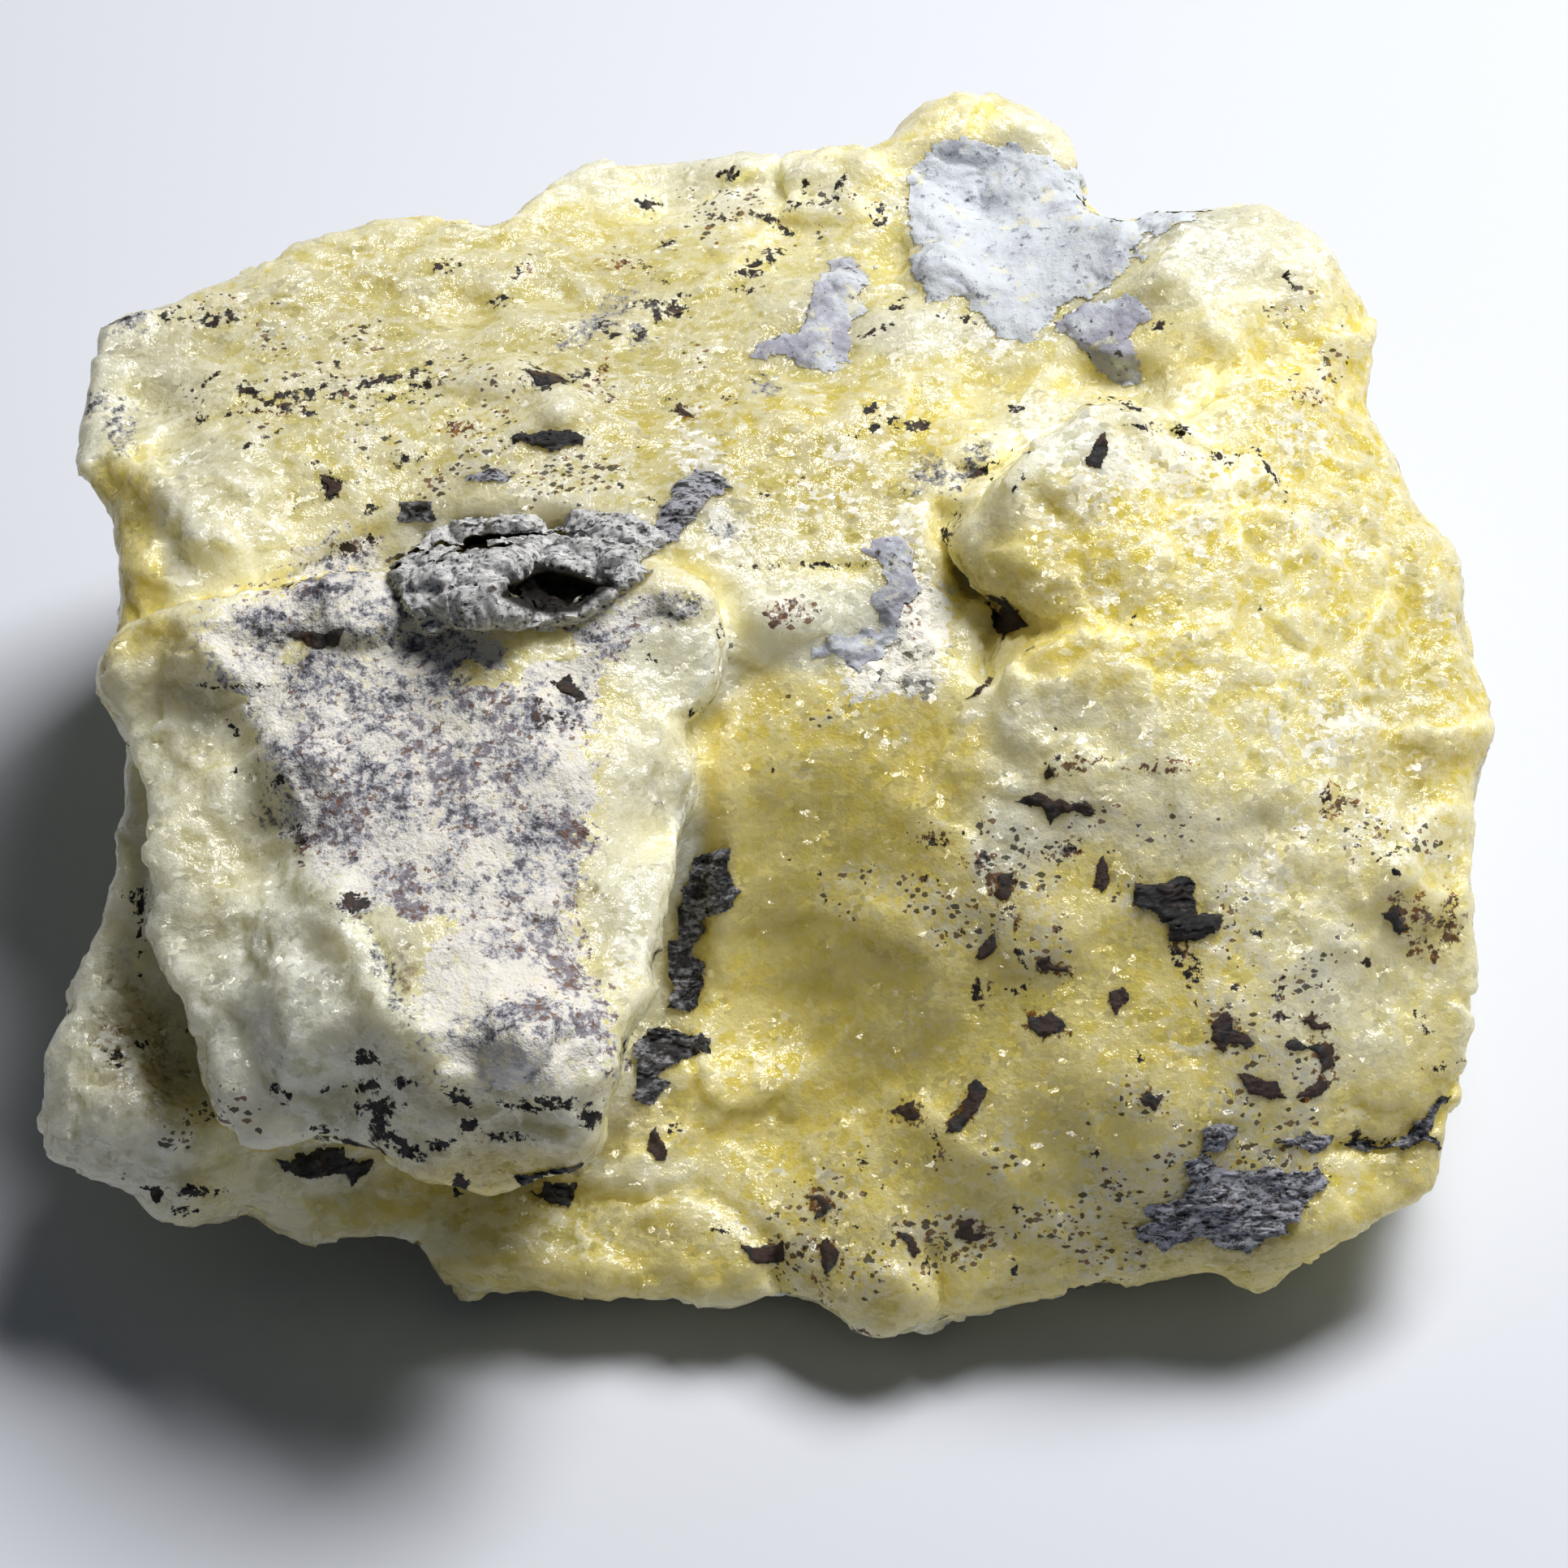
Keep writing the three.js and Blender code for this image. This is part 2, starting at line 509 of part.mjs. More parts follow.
// A flat plate of the outline, which is moved on to the surface.
function plate({ outline, depth, proud, sunk }) {
  const shape = new THREE.Shape(outline.map(([u, v]) => new THREE.Vector2(u, v)));
  const geometry = bare(
    new THREE.ExtrudeGeometry(shape, {
      depth: proud + sunk - 2 * PLATE_EDGE,
      bevelThickness: PLATE_EDGE,
      bevelSize: PLATE_EDGE,
      bevelOffset: -PLATE_EDGE,
      bevelSegments: 1,
    }),
  );
  const position = geometry.getAttribute("position");
  for (let i = 0; i < position.count; i++) {
    const seat = depth(position.getX(i), position.getY(i)) - sunk + PLATE_EDGE;
    position.setZ(i, position.getZ(i) + seat);
  }
  return geometry;
}

// A rounded lump of the outline, with a rough top.
function lump({ outline, depth, proud, sunk, detail }) {
  const rim = outline.map(([u, v]) => [u, v, depth(u, v) + (proud - sunk) / 2]);
  const front = (u, v) => depth(u, v) + proud * (1 + LUMP_RELIEF * rough(new THREE.Vector3(u, v, 0), 4));
  const back = (u, v) => depth(u, v) - sunk;
  return pillow({ rim, front, back, detail, shoulder: 5 });
}

// A scrap follows the surface that it lies on.
function scrap(piece) {
  const { outline, detail, on = "whole" } = piece;
  const centre = new THREE.Vector2();
  for (const [u, v] of outline) centre.add(new THREE.Vector2(u, v).divideScalar(outline.length));
  const depth = (u, v) => depthOf[on](u, v, centre);
  return detail ? lump({ ...piece, depth }) : plate({ ...piece, depth });
}

// The socket of a scrap is the scrap itself, moved out along the normals of its corners.
function socket(geometry, sharp) {
  const grown = geometry.clone();
  grown.computeVertexNormals();
  const position = grown.getAttribute("position");
  const normal = grown.getAttribute("normal");
  const gap = sharp ? SEAT_GAP * Math.SQRT2 : SEAT_GAP;
  for (let i = 0; i < position.count; i++) {
    position.setXYZ(
      i,
      position.getX(i) + gap * normal.getX(i),
      position.getY(i) + gap * normal.getY(i),
      position.getZ(i) + gap * normal.getZ(i),
    );
  }
  return grown;
}

const group = new THREE.Group();

function add(name, manifold, material) {
  const mesh = new THREE.Mesh(geometryOf(manifold), material);
  mesh.name = name;
  group.add(mesh);
}

const scraps = SCRAPS.map((piece) => ({ ...piece, geometry: scrap(piece) }));
for (const { geometry, detail } of scraps) {
  brucite = brucite.subtract(solid(stand(socket(geometry, !detail))));
}
// Crumbs that the sockets cut loose are left out.
const [mainPiece] = brucite.decompose().sort((a, b) => b.volume() - a.volume());
add("brucite", mainPiece, BRUCITE);

const hollow = ball(2).scale(...CAVITY.radii).translate(...CAVITY.at);
const cavity = solid(stand(weather(hollow, CAVITY.relief, CAVITY.wavelength)));
for (const { name, geometry, material } of scraps) {
  const made = solid(stand(geometry));
  add(name, name === "matrix_knob" ? made.subtract(cavity) : made, material);
}

export default group;
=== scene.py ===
# Brucite on matrix: a hand-sized mass of lemon-yellow brucite with scraps of its grey serpentine matrix.
import math

import bpy
import numpy as np
from mathutils import Matrix, Vector
from mathutils.bvhtree import BVHTree


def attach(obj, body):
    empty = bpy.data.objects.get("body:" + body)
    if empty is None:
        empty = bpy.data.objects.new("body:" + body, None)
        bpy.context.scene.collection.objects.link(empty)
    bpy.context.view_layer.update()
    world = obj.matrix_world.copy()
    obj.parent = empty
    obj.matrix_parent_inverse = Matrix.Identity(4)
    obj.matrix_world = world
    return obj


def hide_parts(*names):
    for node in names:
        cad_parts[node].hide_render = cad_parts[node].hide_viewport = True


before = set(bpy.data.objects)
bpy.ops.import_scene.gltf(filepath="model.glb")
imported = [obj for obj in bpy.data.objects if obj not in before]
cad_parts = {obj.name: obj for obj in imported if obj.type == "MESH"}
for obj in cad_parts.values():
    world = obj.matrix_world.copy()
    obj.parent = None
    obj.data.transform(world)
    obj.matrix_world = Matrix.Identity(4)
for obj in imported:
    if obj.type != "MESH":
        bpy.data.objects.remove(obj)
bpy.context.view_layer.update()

# Camera
# The stone is laid out on its broken display face, which slopes back at 42 degrees. The camera looks square
# on to that face from 320 mm, through a long lens.
MM = 0.001
FACE_SLOPE = math.radians(42)
FACE_CENTRE = Vector((0, -7, 21.5)) * MM
FACE_OUT = Vector((0, -math.sin(FACE_SLOPE), math.cos(FACE_SLOPE)))
FACE_UP = Vector((0, math.cos(FACE_SLOPE), math.sin(FACE_SLOPE)))
VIEW_DISTANCE = 320 * MM
FRAME_WIDTH = 71.5 * MM  # the width of the view at the face
SENSOR_MM = 36

camera_data = bpy.data.cameras.new("camera")
camera_data.sensor_width = SENSOR_MM
camera_data.lens = SENSOR_MM * VIEW_DISTANCE / FRAME_WIDTH
camera_data.clip_start = 0.01
camera = bpy.data.objects.new("camera", camera_data)
bpy.context.collection.objects.link(camera)
camera.location = FACE_CENTRE + FACE_OUT * VIEW_DISTANCE
camera.rotation_euler = (FACE_SLOPE, 0, 0)
bpy.context.scene.camera = camera

# Floor and light
# A white table sheet under a cool room, with one bright soft source behind the stone on the right.


def srgb(code):
    """A hex colour as the linear red, green, blue and alpha that a shader socket takes."""
    parts = [int(code[i : i + 2], 16) / 255 for i in (1, 3, 5)]
    return tuple(c / 12.92 if c <= 0.04045 else ((c + 0.055) / 1.055) ** 2.4 for c in parts) + (1.0,)


def add_node(tree, kind, inputs=None, **settings):
    """Adds a shader node. An input is a value, or the output socket that it is linked to."""
    made = tree.nodes.new(kind)
    for name, value in settings.items():
        setattr(made, name, value)
    for name, value in (inputs or {}).items():
        if isinstance(value, bpy.types.NodeSocket):
            tree.links.new(value, made.inputs[name])
        else:
            made.inputs[name].default_value = value
    return made


def new_material(name):
    """An empty node material and its output node."""
    material = bpy.data.materials.new(name)
    material.use_nodes = True
    material.node_tree.nodes.clear()
    return material, material.node_tree, material.node_tree.nodes.new("ShaderNodeOutputMaterial")


bpy.ops.mesh.primitive_plane_add(size=6, location=(0, 0, 0))
table = bpy.context.object
table.name = "table_sheet"
sheet, tree, output = new_material("matt white card")
card = add_node(tree, "ShaderNodeBsdfPrincipled", {"Base Color": srgb("#D9DDE9"), "Roughness": 0.75})
tree.links.new(card.outputs["BSDF"], output.inputs["Surface"])
table.data.materials.append(sheet)


def softbox(name, place, aim, size, power, colour):
    """A square area light at place (mm) that points at aim (mm)."""
    data = bpy.data.lights.new(name, "AREA")
    data.shape = "SQUARE"
    data.size = size * MM
    data.energy = power
    data.color = srgb(colour)[:3]
    lamp = bpy.data.objects.new(name, data)
    bpy.context.collection.objects.link(lamp)
    lamp.location = Vector(place) * MM
    lamp.rotation_euler = (Vector(aim) - Vector(place)).to_track_quat("-Z", "Y").to_euler()


softbox("window", (110, 104, 285), (0, 0, 10), 150, 1.32, "#FFFDF8")
world = bpy.data.worlds.new("cool room")
bpy.context.scene.world = world
world.use_nodes = True
world.node_tree.nodes["Background"].inputs["Color"].default_value = srgb("#C9D6F5")
world.node_tree.nodes["Background"].inputs["Strength"].default_value = 0.06
bpy.context.scene.view_settings.view_transform = "Standard"

# Brucite
# The whole yellow mass: waxy, translucent magnesium hydroxide that grew as one piece and broke along its
# cleavage. Its skin is faceted and plated, sugary on the block and the ledge, and smooth in the hollow.
SCRAP_NODES = [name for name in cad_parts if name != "brucite"]


def only(*pieces):
    """Selects just these objects, the first of them active."""
    bpy.ops.object.select_all(action="DESELECT")
    for piece in pieces:
        piece.select_set(True)
    bpy.context.view_layer.objects.active = pieces[0]


def merged_copy(node_name, name):
    """A copy of a CAD node's mesh with its corners joined."""
    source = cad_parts[node_name]
    piece = bpy.data.objects.new(name, source.data.copy())
    bpy.context.collection.objects.link(piece)
    piece.data.materials.clear()
    only(piece)
    bpy.ops.object.mode_set(mode="EDIT")
    bpy.ops.mesh.select_all(action="SELECT")
    bpy.ops.mesh.remove_doubles(threshold=1e-6)
    bpy.ops.object.mode_set(mode="OBJECT")
    return piece


def shape_with(piece, kind, **settings):
    """Adds a modifier and applies it."""
    only(piece)
    modifier = piece.modifiers.new(kind, kind)
    for name, value in settings.items():
        setattr(modifier, name, value)
    bpy.ops.object.modifier_apply(modifier=modifier.name)


VOXEL = 0.24 * MM  # fine enough for plates of 0.9 mm
FILLER_SWELL = 0.5 * MM  # past the gap round a scrap in its socket
FILLER_SINK, KNOB_SINK = 1.0, 1.9  # mm by which a filler lies below its scrap, so that it doesn't stand out

brucite = merged_copy("brucite", "brucite_mass")
# The sockets are filled, because here the matrix is grown into the stone.
fillers = []
for node_name in SCRAP_NODES:
    filler = merged_copy(node_name, "filler")
    shape_with(filler, "DISPLACE", strength=FILLER_SWELL, mid_level=0)
    sink = KNOB_SINK if node_name == "matrix_knob" else FILLER_SINK
    filler.data.transform(Matrix.Translation(-FACE_OUT * sink * MM))
    fillers.append(filler)
only(brucite, *fillers)
bpy.ops.object.join()
shape_with(brucite, "REMESH", mode="VOXEL", voxel_size=VOXEL)
shape_with(brucite, "SMOOTH", factor=0.5, iterations=24)


def corners(mesh):
    """The places of a mesh's corners as an array, in millimetres."""
    values = np.empty(len(mesh.vertices) * 3)
    mesh.vertices.foreach_get("co", values)
    return values.reshape(-1, 3) / MM


def outward(mesh):
    """The normals at a mesh's corners as an array."""
    values = np.empty(len(mesh.vertices) * 3)
    mesh.vertex_normals.foreach_get("vector", values)
    return values.reshape(-1, 3)


def move_corners(mesh, points):
    """Puts a mesh's corners at these places, in millimetres."""
    mesh.vertices.foreach_set("co", (points * MM).ravel())
    mesh.update()


def settle(mesh):
    """Lifts whatever lies below the floor up on to it."""
    points = corners(mesh)
    points[:, 2] = np.maximum(points[:, 2], 0)
    move_corners(mesh, points)


CENTRE, UP, OUT = np.array(FACE_CENTRE) / MM, np.array(FACE_UP), np.array(FACE_OUT)
EYE = np.array(camera.location) / MM


def seen_at(points):
    """The (u, v) at which each point is seen on the plane of the face, in millimetres."""
    local = points - CENTRE
    reach = VIEW_DISTANCE / MM
    spread = reach / (reach - local @ OUT)
    return local[:, 0] * spread, (local @ UP) * spread


def facing(points, normals):
    """1 where the skin faces the camera, down to 0 where it turns away."""
    towards = EYE - points
    towards /= np.linalg.norm(towards, axis=1)[:, None]
    return np.clip(((towards * normals).sum(axis=1) - 0.05) / 0.25, 0, 1)


def surveyed(mesh):
    """A mesh's corners, the u and the v at which each is seen, and how much each faces the camera."""
    points = corners(mesh)
    u, v = seen_at(points)
    return points, u, v, facing(points, outward(mesh))


def to_line(u, v, line):
    """The distance from each point to a line of (u, v) points, positive on the left of its travel."""
    nearest = np.full_like(u, 1e6)
    side = np.ones_like(u)
    for (au, av), (bu, bv) in zip(line, line[1:]):
        du, dv = bu - au, bv - av
        along = np.clip(((u - au) * du + (v - av) * dv) / (du * du + dv * dv), 0, 1)
        away = np.hypot(u - au - along * du, v - av - along * dv)
        closer = away < nearest
        nearest = np.where(closer, away, nearest)
        side = np.where(closer, np.sign(du * (v - av) - dv * (u - au)), side)
    return nearest * side


def within(u, v, outline):
    """The depth of each point inside a closed outline of (u, v) points, negative outside it."""
    inside = np.zeros(len(u), dtype=bool)
    loop = list(outline) + [outline[0]]
    for (au, av), (bu, bv) in zip(loop, loop[1:]):
        if av != bv:
            inside ^= ((av > v) != (bv > v)) & (u < au + (v - av) * (bu - au) / (bv - av))
    return np.where(inside, 1, -1) * np.abs(to_line(u, v, loop))


def hashed(cell, seed):
    """A repeatable random number from 0 to 1 for each whole-number place."""
    i, j, k = cell.astype(np.int64).T
    n = (i * 73856093) ^ (j * 19349663) ^ (k * 83492791) ^ (seed * 40503057)
    n = ((n ^ (n >> 13)) * 1274126177) & 0xFFFFFFFF
    n = ((n ^ (n >> 15)) * 2246822519) & 0xFFFFFFFF
    return (n ^ (n >> 16)) / 0xFFFFFFFF


def blotch(points, size, seed, octaves=3):
    """Soft noise from about -1 to 1, with blotches of the given size in millimetres."""
    total, weight = 0, 1
    for octave in range(octaves):
        place = points / size * 2**octave
        cell = np.floor(place)
        part = place - cell
        part = part * part * (3 - 2 * part)
        value = 0
        for dx in (0, 1):
            for dy in (0, 1):
                for dz in (0, 1):
                    share = np.prod(np.where([dx, dy, dz], part, 1 - part), axis=1)
                    value = value + share * hashed(cell + [dx, dy, dz], seed + octave)
        total = total + (value * 2 - 1) * weight
        weight *= 0.5
    return total * 1.2


def wandered(points, u, v, swing, size, seed, octaves=3):
    """The u and the v with a wander of about swing millimetres, which makes an edge ragged."""
    wander_u = swing * blotch(points, size, seed, octaves)
    wander_v = swing * blotch(points, size, seed + 10, octaves)
    return u + wander_u, v + wander_v


def plates(points, size, seed):
    """Facets like broken cleavage plates: the height in millimetres of their tilted tops."""
    place = points / size
    home = np.floor(place).astype(np.int64)
    codes = (home[:, 0] * 4096 + home[:, 1]) * 4096 + home[:, 2]
    first, member = np.unique(codes, return_index=True, return_inverse=True)[1:]
    homes = home[first]
    nearest = np.full(len(points), 1e6)
    height = np.zeros(len(points))
    for dx in (-1, 0, 1):
        for dy in (-1, 0, 1):
            for dz in (-1, 0, 1):
                cell = homes + [dx, dy, dz]
                draws = np.column_stack([hashed(cell, seed + n) for n in range(6)])[member]
                offset = place - cell[member] - draws[:, :3]
                away = (offset**2).sum(axis=1)
                closer = away < nearest
                nearest = np.where(closer, away, nearest)
                height = np.where(closer, (offset * (draws[:, 3:] * 2 - 1)).sum(axis=1), height)
    return height * size


def near(u, v, patches):
    """How much each point lies within the patches, 0 to 1. A patch is (u, v, radius u, radius v)."""
    total = np.zeros_like(u)
    for at_u, at_v, radius_u, radius_v in patches:
        distance = np.hypot((u - at_u) / radius_u, (v - at_v) / radius_v)
        total = np.maximum(total, np.clip(1.5 - distance, 0, 1))
    return total * total * (3 - 2 * total)


# The stone's own forms, as lines of (u, v) in millimetres on the display face.
# A step raises the ground on the left of its line's travel by a height, which fades over a reach.
STEPS = [
    # upper dome: its left side, and its far rim
    (0.35, 5, [(8.2, 14), (7.3, 12.8), (7.4, 11.5), (8.2, 10.4), (8.8, 9.2), (9.6, 8.4), (10.1, 7.4)]),
    (0.3, 6, [(22.8, 13.2), (22, 14.4), (20.5, 14.9), (19, 15.2), (17, 16.3), (15.3, 17.4), (14, 17.8),
              (12.5, 17.2), (11.2, 15.8), (10.2, 14.8), (8.4, 13.8)]),
    # lower dome: its left side, and its lower lip
    (0.6, 4, [(13, 7), (11, 7), (9.7, 6.4), (9.4, 5.2), (8.6, 3.8), (8, 2.8)]),
    (0.12, 5, [(10.3, -0.5), (12, -0.9), (14, -1.1), (16, -1.5), (17.6, -2), (19.2, -1.8), (20.5, -2.6)]),
    # shell-like rims in the hollow
    (0.2, 2.5, [(-3.4, -6.2), (-2.4, -6.8), (-0.6, -7.1), (0.2, -6.4), (1.6, -6.2), (3, -6.5), (4.4, -7.2),
                (6, -7.3), (6.6, -6.6)]),
    (0.18, 2, [(-1.5, -13.2), (-1.3, -13.9), (-0.6, -14.3), (0.4, -14.3), (1.6, -13.8), (2, -13.2)]),
    (0.2, 2, [(-4.6, -12.8), (-3.4, -15.4), (-1.6, -16.1), (0.5, -16), (1.2, -17)]),
    # jagged right side of the block
    (0.3, 1.5, [(-9, -17.2), (-8.2, -15.5), (-7.6, -14), (-7.5, -12), (-7, -10.8), (-5.6, -9.8), (-6, -8),
                (-5.2, -6.5), (-4.5, -4.5), (-3.5, -3), (-4.1, -1.5), (-4, 0), (-3.2, 1), (-4.8, 1.9),
                (-5.3, 2.7), (-4, 3.5), (-2.8, 4.7), (-2.5, 6), (-3.1, 7.2), (-3.4, 8.6), (-4.2, 9.6)]),
    # bench that carries the row of dark grains on the terrace
    (0.3, 3, [(-27, 17), (-24.5, 17.6), (-21, 18), (-17, 18.2), (-13, 17.6), (-9, 18.6), (-6, 21.4),
              (-3, 23)]),
    # near ridge, in front of the far lump
    (0.5, 4, [(4, 29), (1, 28.2), (-1.5, 27), (-5, 26), (-8.5, 24.6), (-12, 24.4)]),
]
# A ridge stands up along its line; one with a negative height is a groove. Then its half width.
RIDGES = [
    (0.4, 0.9, [(-27, 6.7), (-25, 4.7), (-24, 3), (-23, 0.5), (-22.3, -2.5), (-21, -4.7), (-20.4, -6.6),
                (-19, -8.4), (-18, -10.3), (-16.5, -11.4), (-15.3, -13.2)]),
    (0.3, 0.7, [(-15.3, -13.2), (-13, -13.7), (-10, -13.6), (-7.8, -13.4)]),
    (-1.1, 0.5, [(7, 12.4), (7.2, 11.4), (8, 10.3), (8.5, 9.2), (9.3, 8.2), (9.8, 7.4), (9.4, 6.4),
                 (9.1, 5)]),
    (-0.8, 0.35, [(8.2, 14.1), (9.4, 14.6), (10.8, 15.5)]),
    (-0.7, 0.3, [(18, 16), (19, 16.8), (20, 17.6), (20.2, 18.6)]),
    (-0.35, 0.2, [(0, 10), (1.6, 10), (3.3, 10.1)]),
    (-0.7, 0.5, [(-0.5, -22), (0.2, -23.4), (0.2, -24.4)]),
    (-0.9, 0.5, [(6.8, -21.6), (7.4, -23), (7.6, -24.6)]),
    (-0.4, 0.3, [(-19.5, -6), (-18, -8), (-17.2, -10)]),
    (-0.5, 0.5, [(-24, 8.4), (-21, 10), (-19, 11.4)]),
    (0.5, 1.2, [(-29, 9.6), (-27, 8), (-24, 8)]),
    (-0.5, 0.4, [(25, -16.6), (27, -16.6), (29, -15.8), (30.6, -14.2)]),
    (-0.4, 0.4, [(-13, -19.4), (-8, -19), (-4, -18.4), (-1, -20.4), (0, -22.4)]),
]
# Where the ground is even, as (u, v, radius u, radius v), for a fine and for a broad levelling.
EVEN = [
    (1, -4, 9, 9), (-14, 20, 17, 5), (12, -10, 12, 9), (-15, 1, 7, 11), (20, -16, 8, 5), (4, -19, 8, 4),
    (2, 12, 6, 4), (-8, 14, 8, 4), (14, 22, 6, 5),
]
MERGED = [(17, 3, 7, 7), (20, 10, 8, 6), (25, 6, 3, 9), (14, -2, 8, 3), (21, 16, 4, 3)]
# Where the skin is grainy like sugar.
SUGARY = [
    (-23, -2, 6, 12), (-31, -14, 6, 7), (-20, -21, 12, 3), (-6, -21, 8, 3), (-28, 11, 5, 6), (-14, 3, 9, 9),
]


def ground(points, weights, spread):
    """The height of the face around each point, averaged over a spread in millimetres."""
    cell, size, half = 0.5, 160, 30  # a grid of 80 mm in cells of 0.5 mm, and half the bell's width in cells
    u, v = seen_at(points)
    place = np.column_stack((u, v)) / cell + size / 2
    home = np.clip(np.floor(place).astype(int), 0, size - 2)
    index = home[:, 0] * size + home[:, 1]
    totals = []
    away = np.arange(-half, half + 1) * cell / spread
    bell = np.exp(-away * away / 2)
    for values in (points @ OUT * weights, weights):
        total = np.bincount(index, values, size * size).reshape(size, size)
        for axis in (0, 1):
            total = np.apply_along_axis(np.convolve, axis, total, bell, "same")
        totals.append(total)
    height = totals[0] / np.maximum(totals[1], 1e-6)
    part = np.clip(place - 0.5 - home, -0.5, 0.5)
    slope_u = np.gradient(height, axis=0)[home[:, 0], home[:, 1]]
    slope_v = np.gradient(height, axis=1)[home[:, 0], home[:, 1]]
    return height[home[:, 0], home[:, 1]] + slope_u * part[:, 0] + slope_v * part[:, 1]


mesh = brucite.data
points, u, v, shown = surveyed(mesh)
for patches, spread, most in ((EVEN, 1.8, 1.8), (MERGED, 3.5, 5)):
    level = ground(points, shown, spread) - points @ OUT
    points += OUT * (level * near(u, v, patches) * shown * np.clip(most - np.abs(level), 0, 1))[:, None]
# The foot of the apron lies a little fuller, and its brow a little lower.
APRON_LIFTS = [((13, -16, 6, 4), 1.1), ((4.5, -9, 3.6, 3.6), 0.9), ((12, -7.5, 5, 3), -0.5)]
for patch, lift in APRON_LIFTS:
    points += OUT * (lift * near(u, v, [patch]) * shown)[:, None]
move_corners(mesh, points)
shape_with(brucite, "REMESH", mode="VOXEL", voxel_size=VOXEL)
FACE_FOOT = 8  # mm above the floor, below which the merged ground isn't smoothed
LEAST_WEIGHT = 0.05
mesh = brucite.data
points = corners(mesh)
u, v = seen_at(points)
merged = brucite.vertex_groups.new(name="merged")
weights = near(u, v, MERGED) * (points[:, 2] > FACE_FOOT)
for index in np.flatnonzero(weights > LEAST_WEIGHT):
    merged.add([int(index)], float(weights[index]), "REPLACE")
shape_with(brucite, "SMOOTH", factor=0.5, iterations=40, vertex_group="merged")
shape_with(brucite, "SMOOTH", factor=0.5, iterations=3)
brucite.vertex_groups.clear()
STEP_WIDTH = 0.35  # mm over which a step climbs
mesh = brucite.data
points, u, v, shown = surveyed(mesh)
rise = np.zeros_like(u)
wander_u, wander_v = wandered(points, u, v, 0.35, 1.6, 11)
for height, reach, line in STEPS:
    away = to_line(wander_u, wander_v, line)
    rise += height * np.clip(away / STEP_WIDTH + 0.5, 0, 1) * np.exp(-np.maximum(away, 0) / reach)
for height, width, line in RIDGES:
    rise += height * np.exp(-((to_line(wander_u, wander_v, line) / width) ** 2))
points += OUT * (rise * shown)[:, None]
move_corners(mesh, points)

normals = outward(mesh)
broken = 1 - 0.75 * near(u, v, EVEN) * shown
sugary = near(u, v, SUGARY) * shown
relief = 0.1 * blotch(points, 5, 31)
PLATE_SIZES = [(4.2, 0.09, 41), (1.9, 0.11, 51), (0.9, 0.11, 61)]  # (size in mm, tilt, seed)
for size, tilt, seed in PLATE_SIZES:
    bent = points + 0.12 * size * blotch(points, size, seed + 7)[:, None]
    relief += plates(bent, size, seed) * tilt * broken
relief += sugary * 0.08 * blotch(points, 0.7, 71, 2)
points += normals * relief[:, None]
move_corners(mesh, points)
shape_with(brucite, "SMOOTH", factor=0.4, iterations=1)
settle(brucite.data)

# The matrix scraps are cut from this fine skin, and then the skin is thinned to what it needs.
fine_mesh = brucite.data.copy()
fine_points = corners(fine_mesh)
fine_quads = np.empty(len(fine_mesh.loops), dtype=int)
fine_mesh.loops.foreach_get("vertex_index", fine_quads)
fine_quads = fine_quads.reshape(-1, 4)
fine_u, fine_v = seen_at(fine_points)
fine_shown = facing(fine_points, outward(fine_mesh)) > 0.02
# Of the ground that lies behind other ground, none is used.
CELL_MM, CELLS = 0.5, 200
BEHIND_MM = 2
row = np.floor(fine_u / CELL_MM).astype(int) + CELLS // 2
column = np.floor(fine_v / CELL_MM).astype(int) + CELLS // 2
cell_of = row * CELLS + column
foremost = np.full(CELLS * CELLS, -1e6)
np.maximum.at(foremost, cell_of, fine_points @ OUT)
fine_shown &= fine_points @ OUT > foremost[cell_of] - BEHIND_MM
# The outline of the knob of fibres, in (u, v). It sits in a pit of its own.
KNOB = [
    (-18, 10.3), (-17, 10.6), (-16, 11.6), (-14.5, 12.2), (-12.6, 12.3), (-11.2, 12.3), (-10.4, 11.8),
    (-9.6, 12.6), (-8, 12.4), (-6.4, 12.1), (-5.6, 11.4), (-5, 10.9), (-5.8, 10.4), (-6.6, 9.9), (-6, 9.6),
    (-6.2, 9.1), (-7.4, 8.6), (-8.4, 7.9), (-9.3, 7.2), (-11, 6.9), (-13, 7.3), (-14.5, 7.1), (-16.2, 6.7),
    (-17, 7.3), (-17.4, 8.2), (-17.8, 8.8),
]
PIT_DEPTH = 2.4  # mm
TRIANGLES = 196000  # a piece stays under 200,000
pit = np.clip((within(fine_u, fine_v, KNOB) - 0.5) / 0.4, 0, 1)
move_corners(brucite.data, fine_points - OUT * (PIT_DEPTH * pit * fine_shown)[:, None])
shape_with(brucite, "DECIMATE", ratio=TRIANGLES / (2 * len(fine_quads)))
settle(brucite.data)
only(brucite)
bpy.ops.object.shade_smooth()

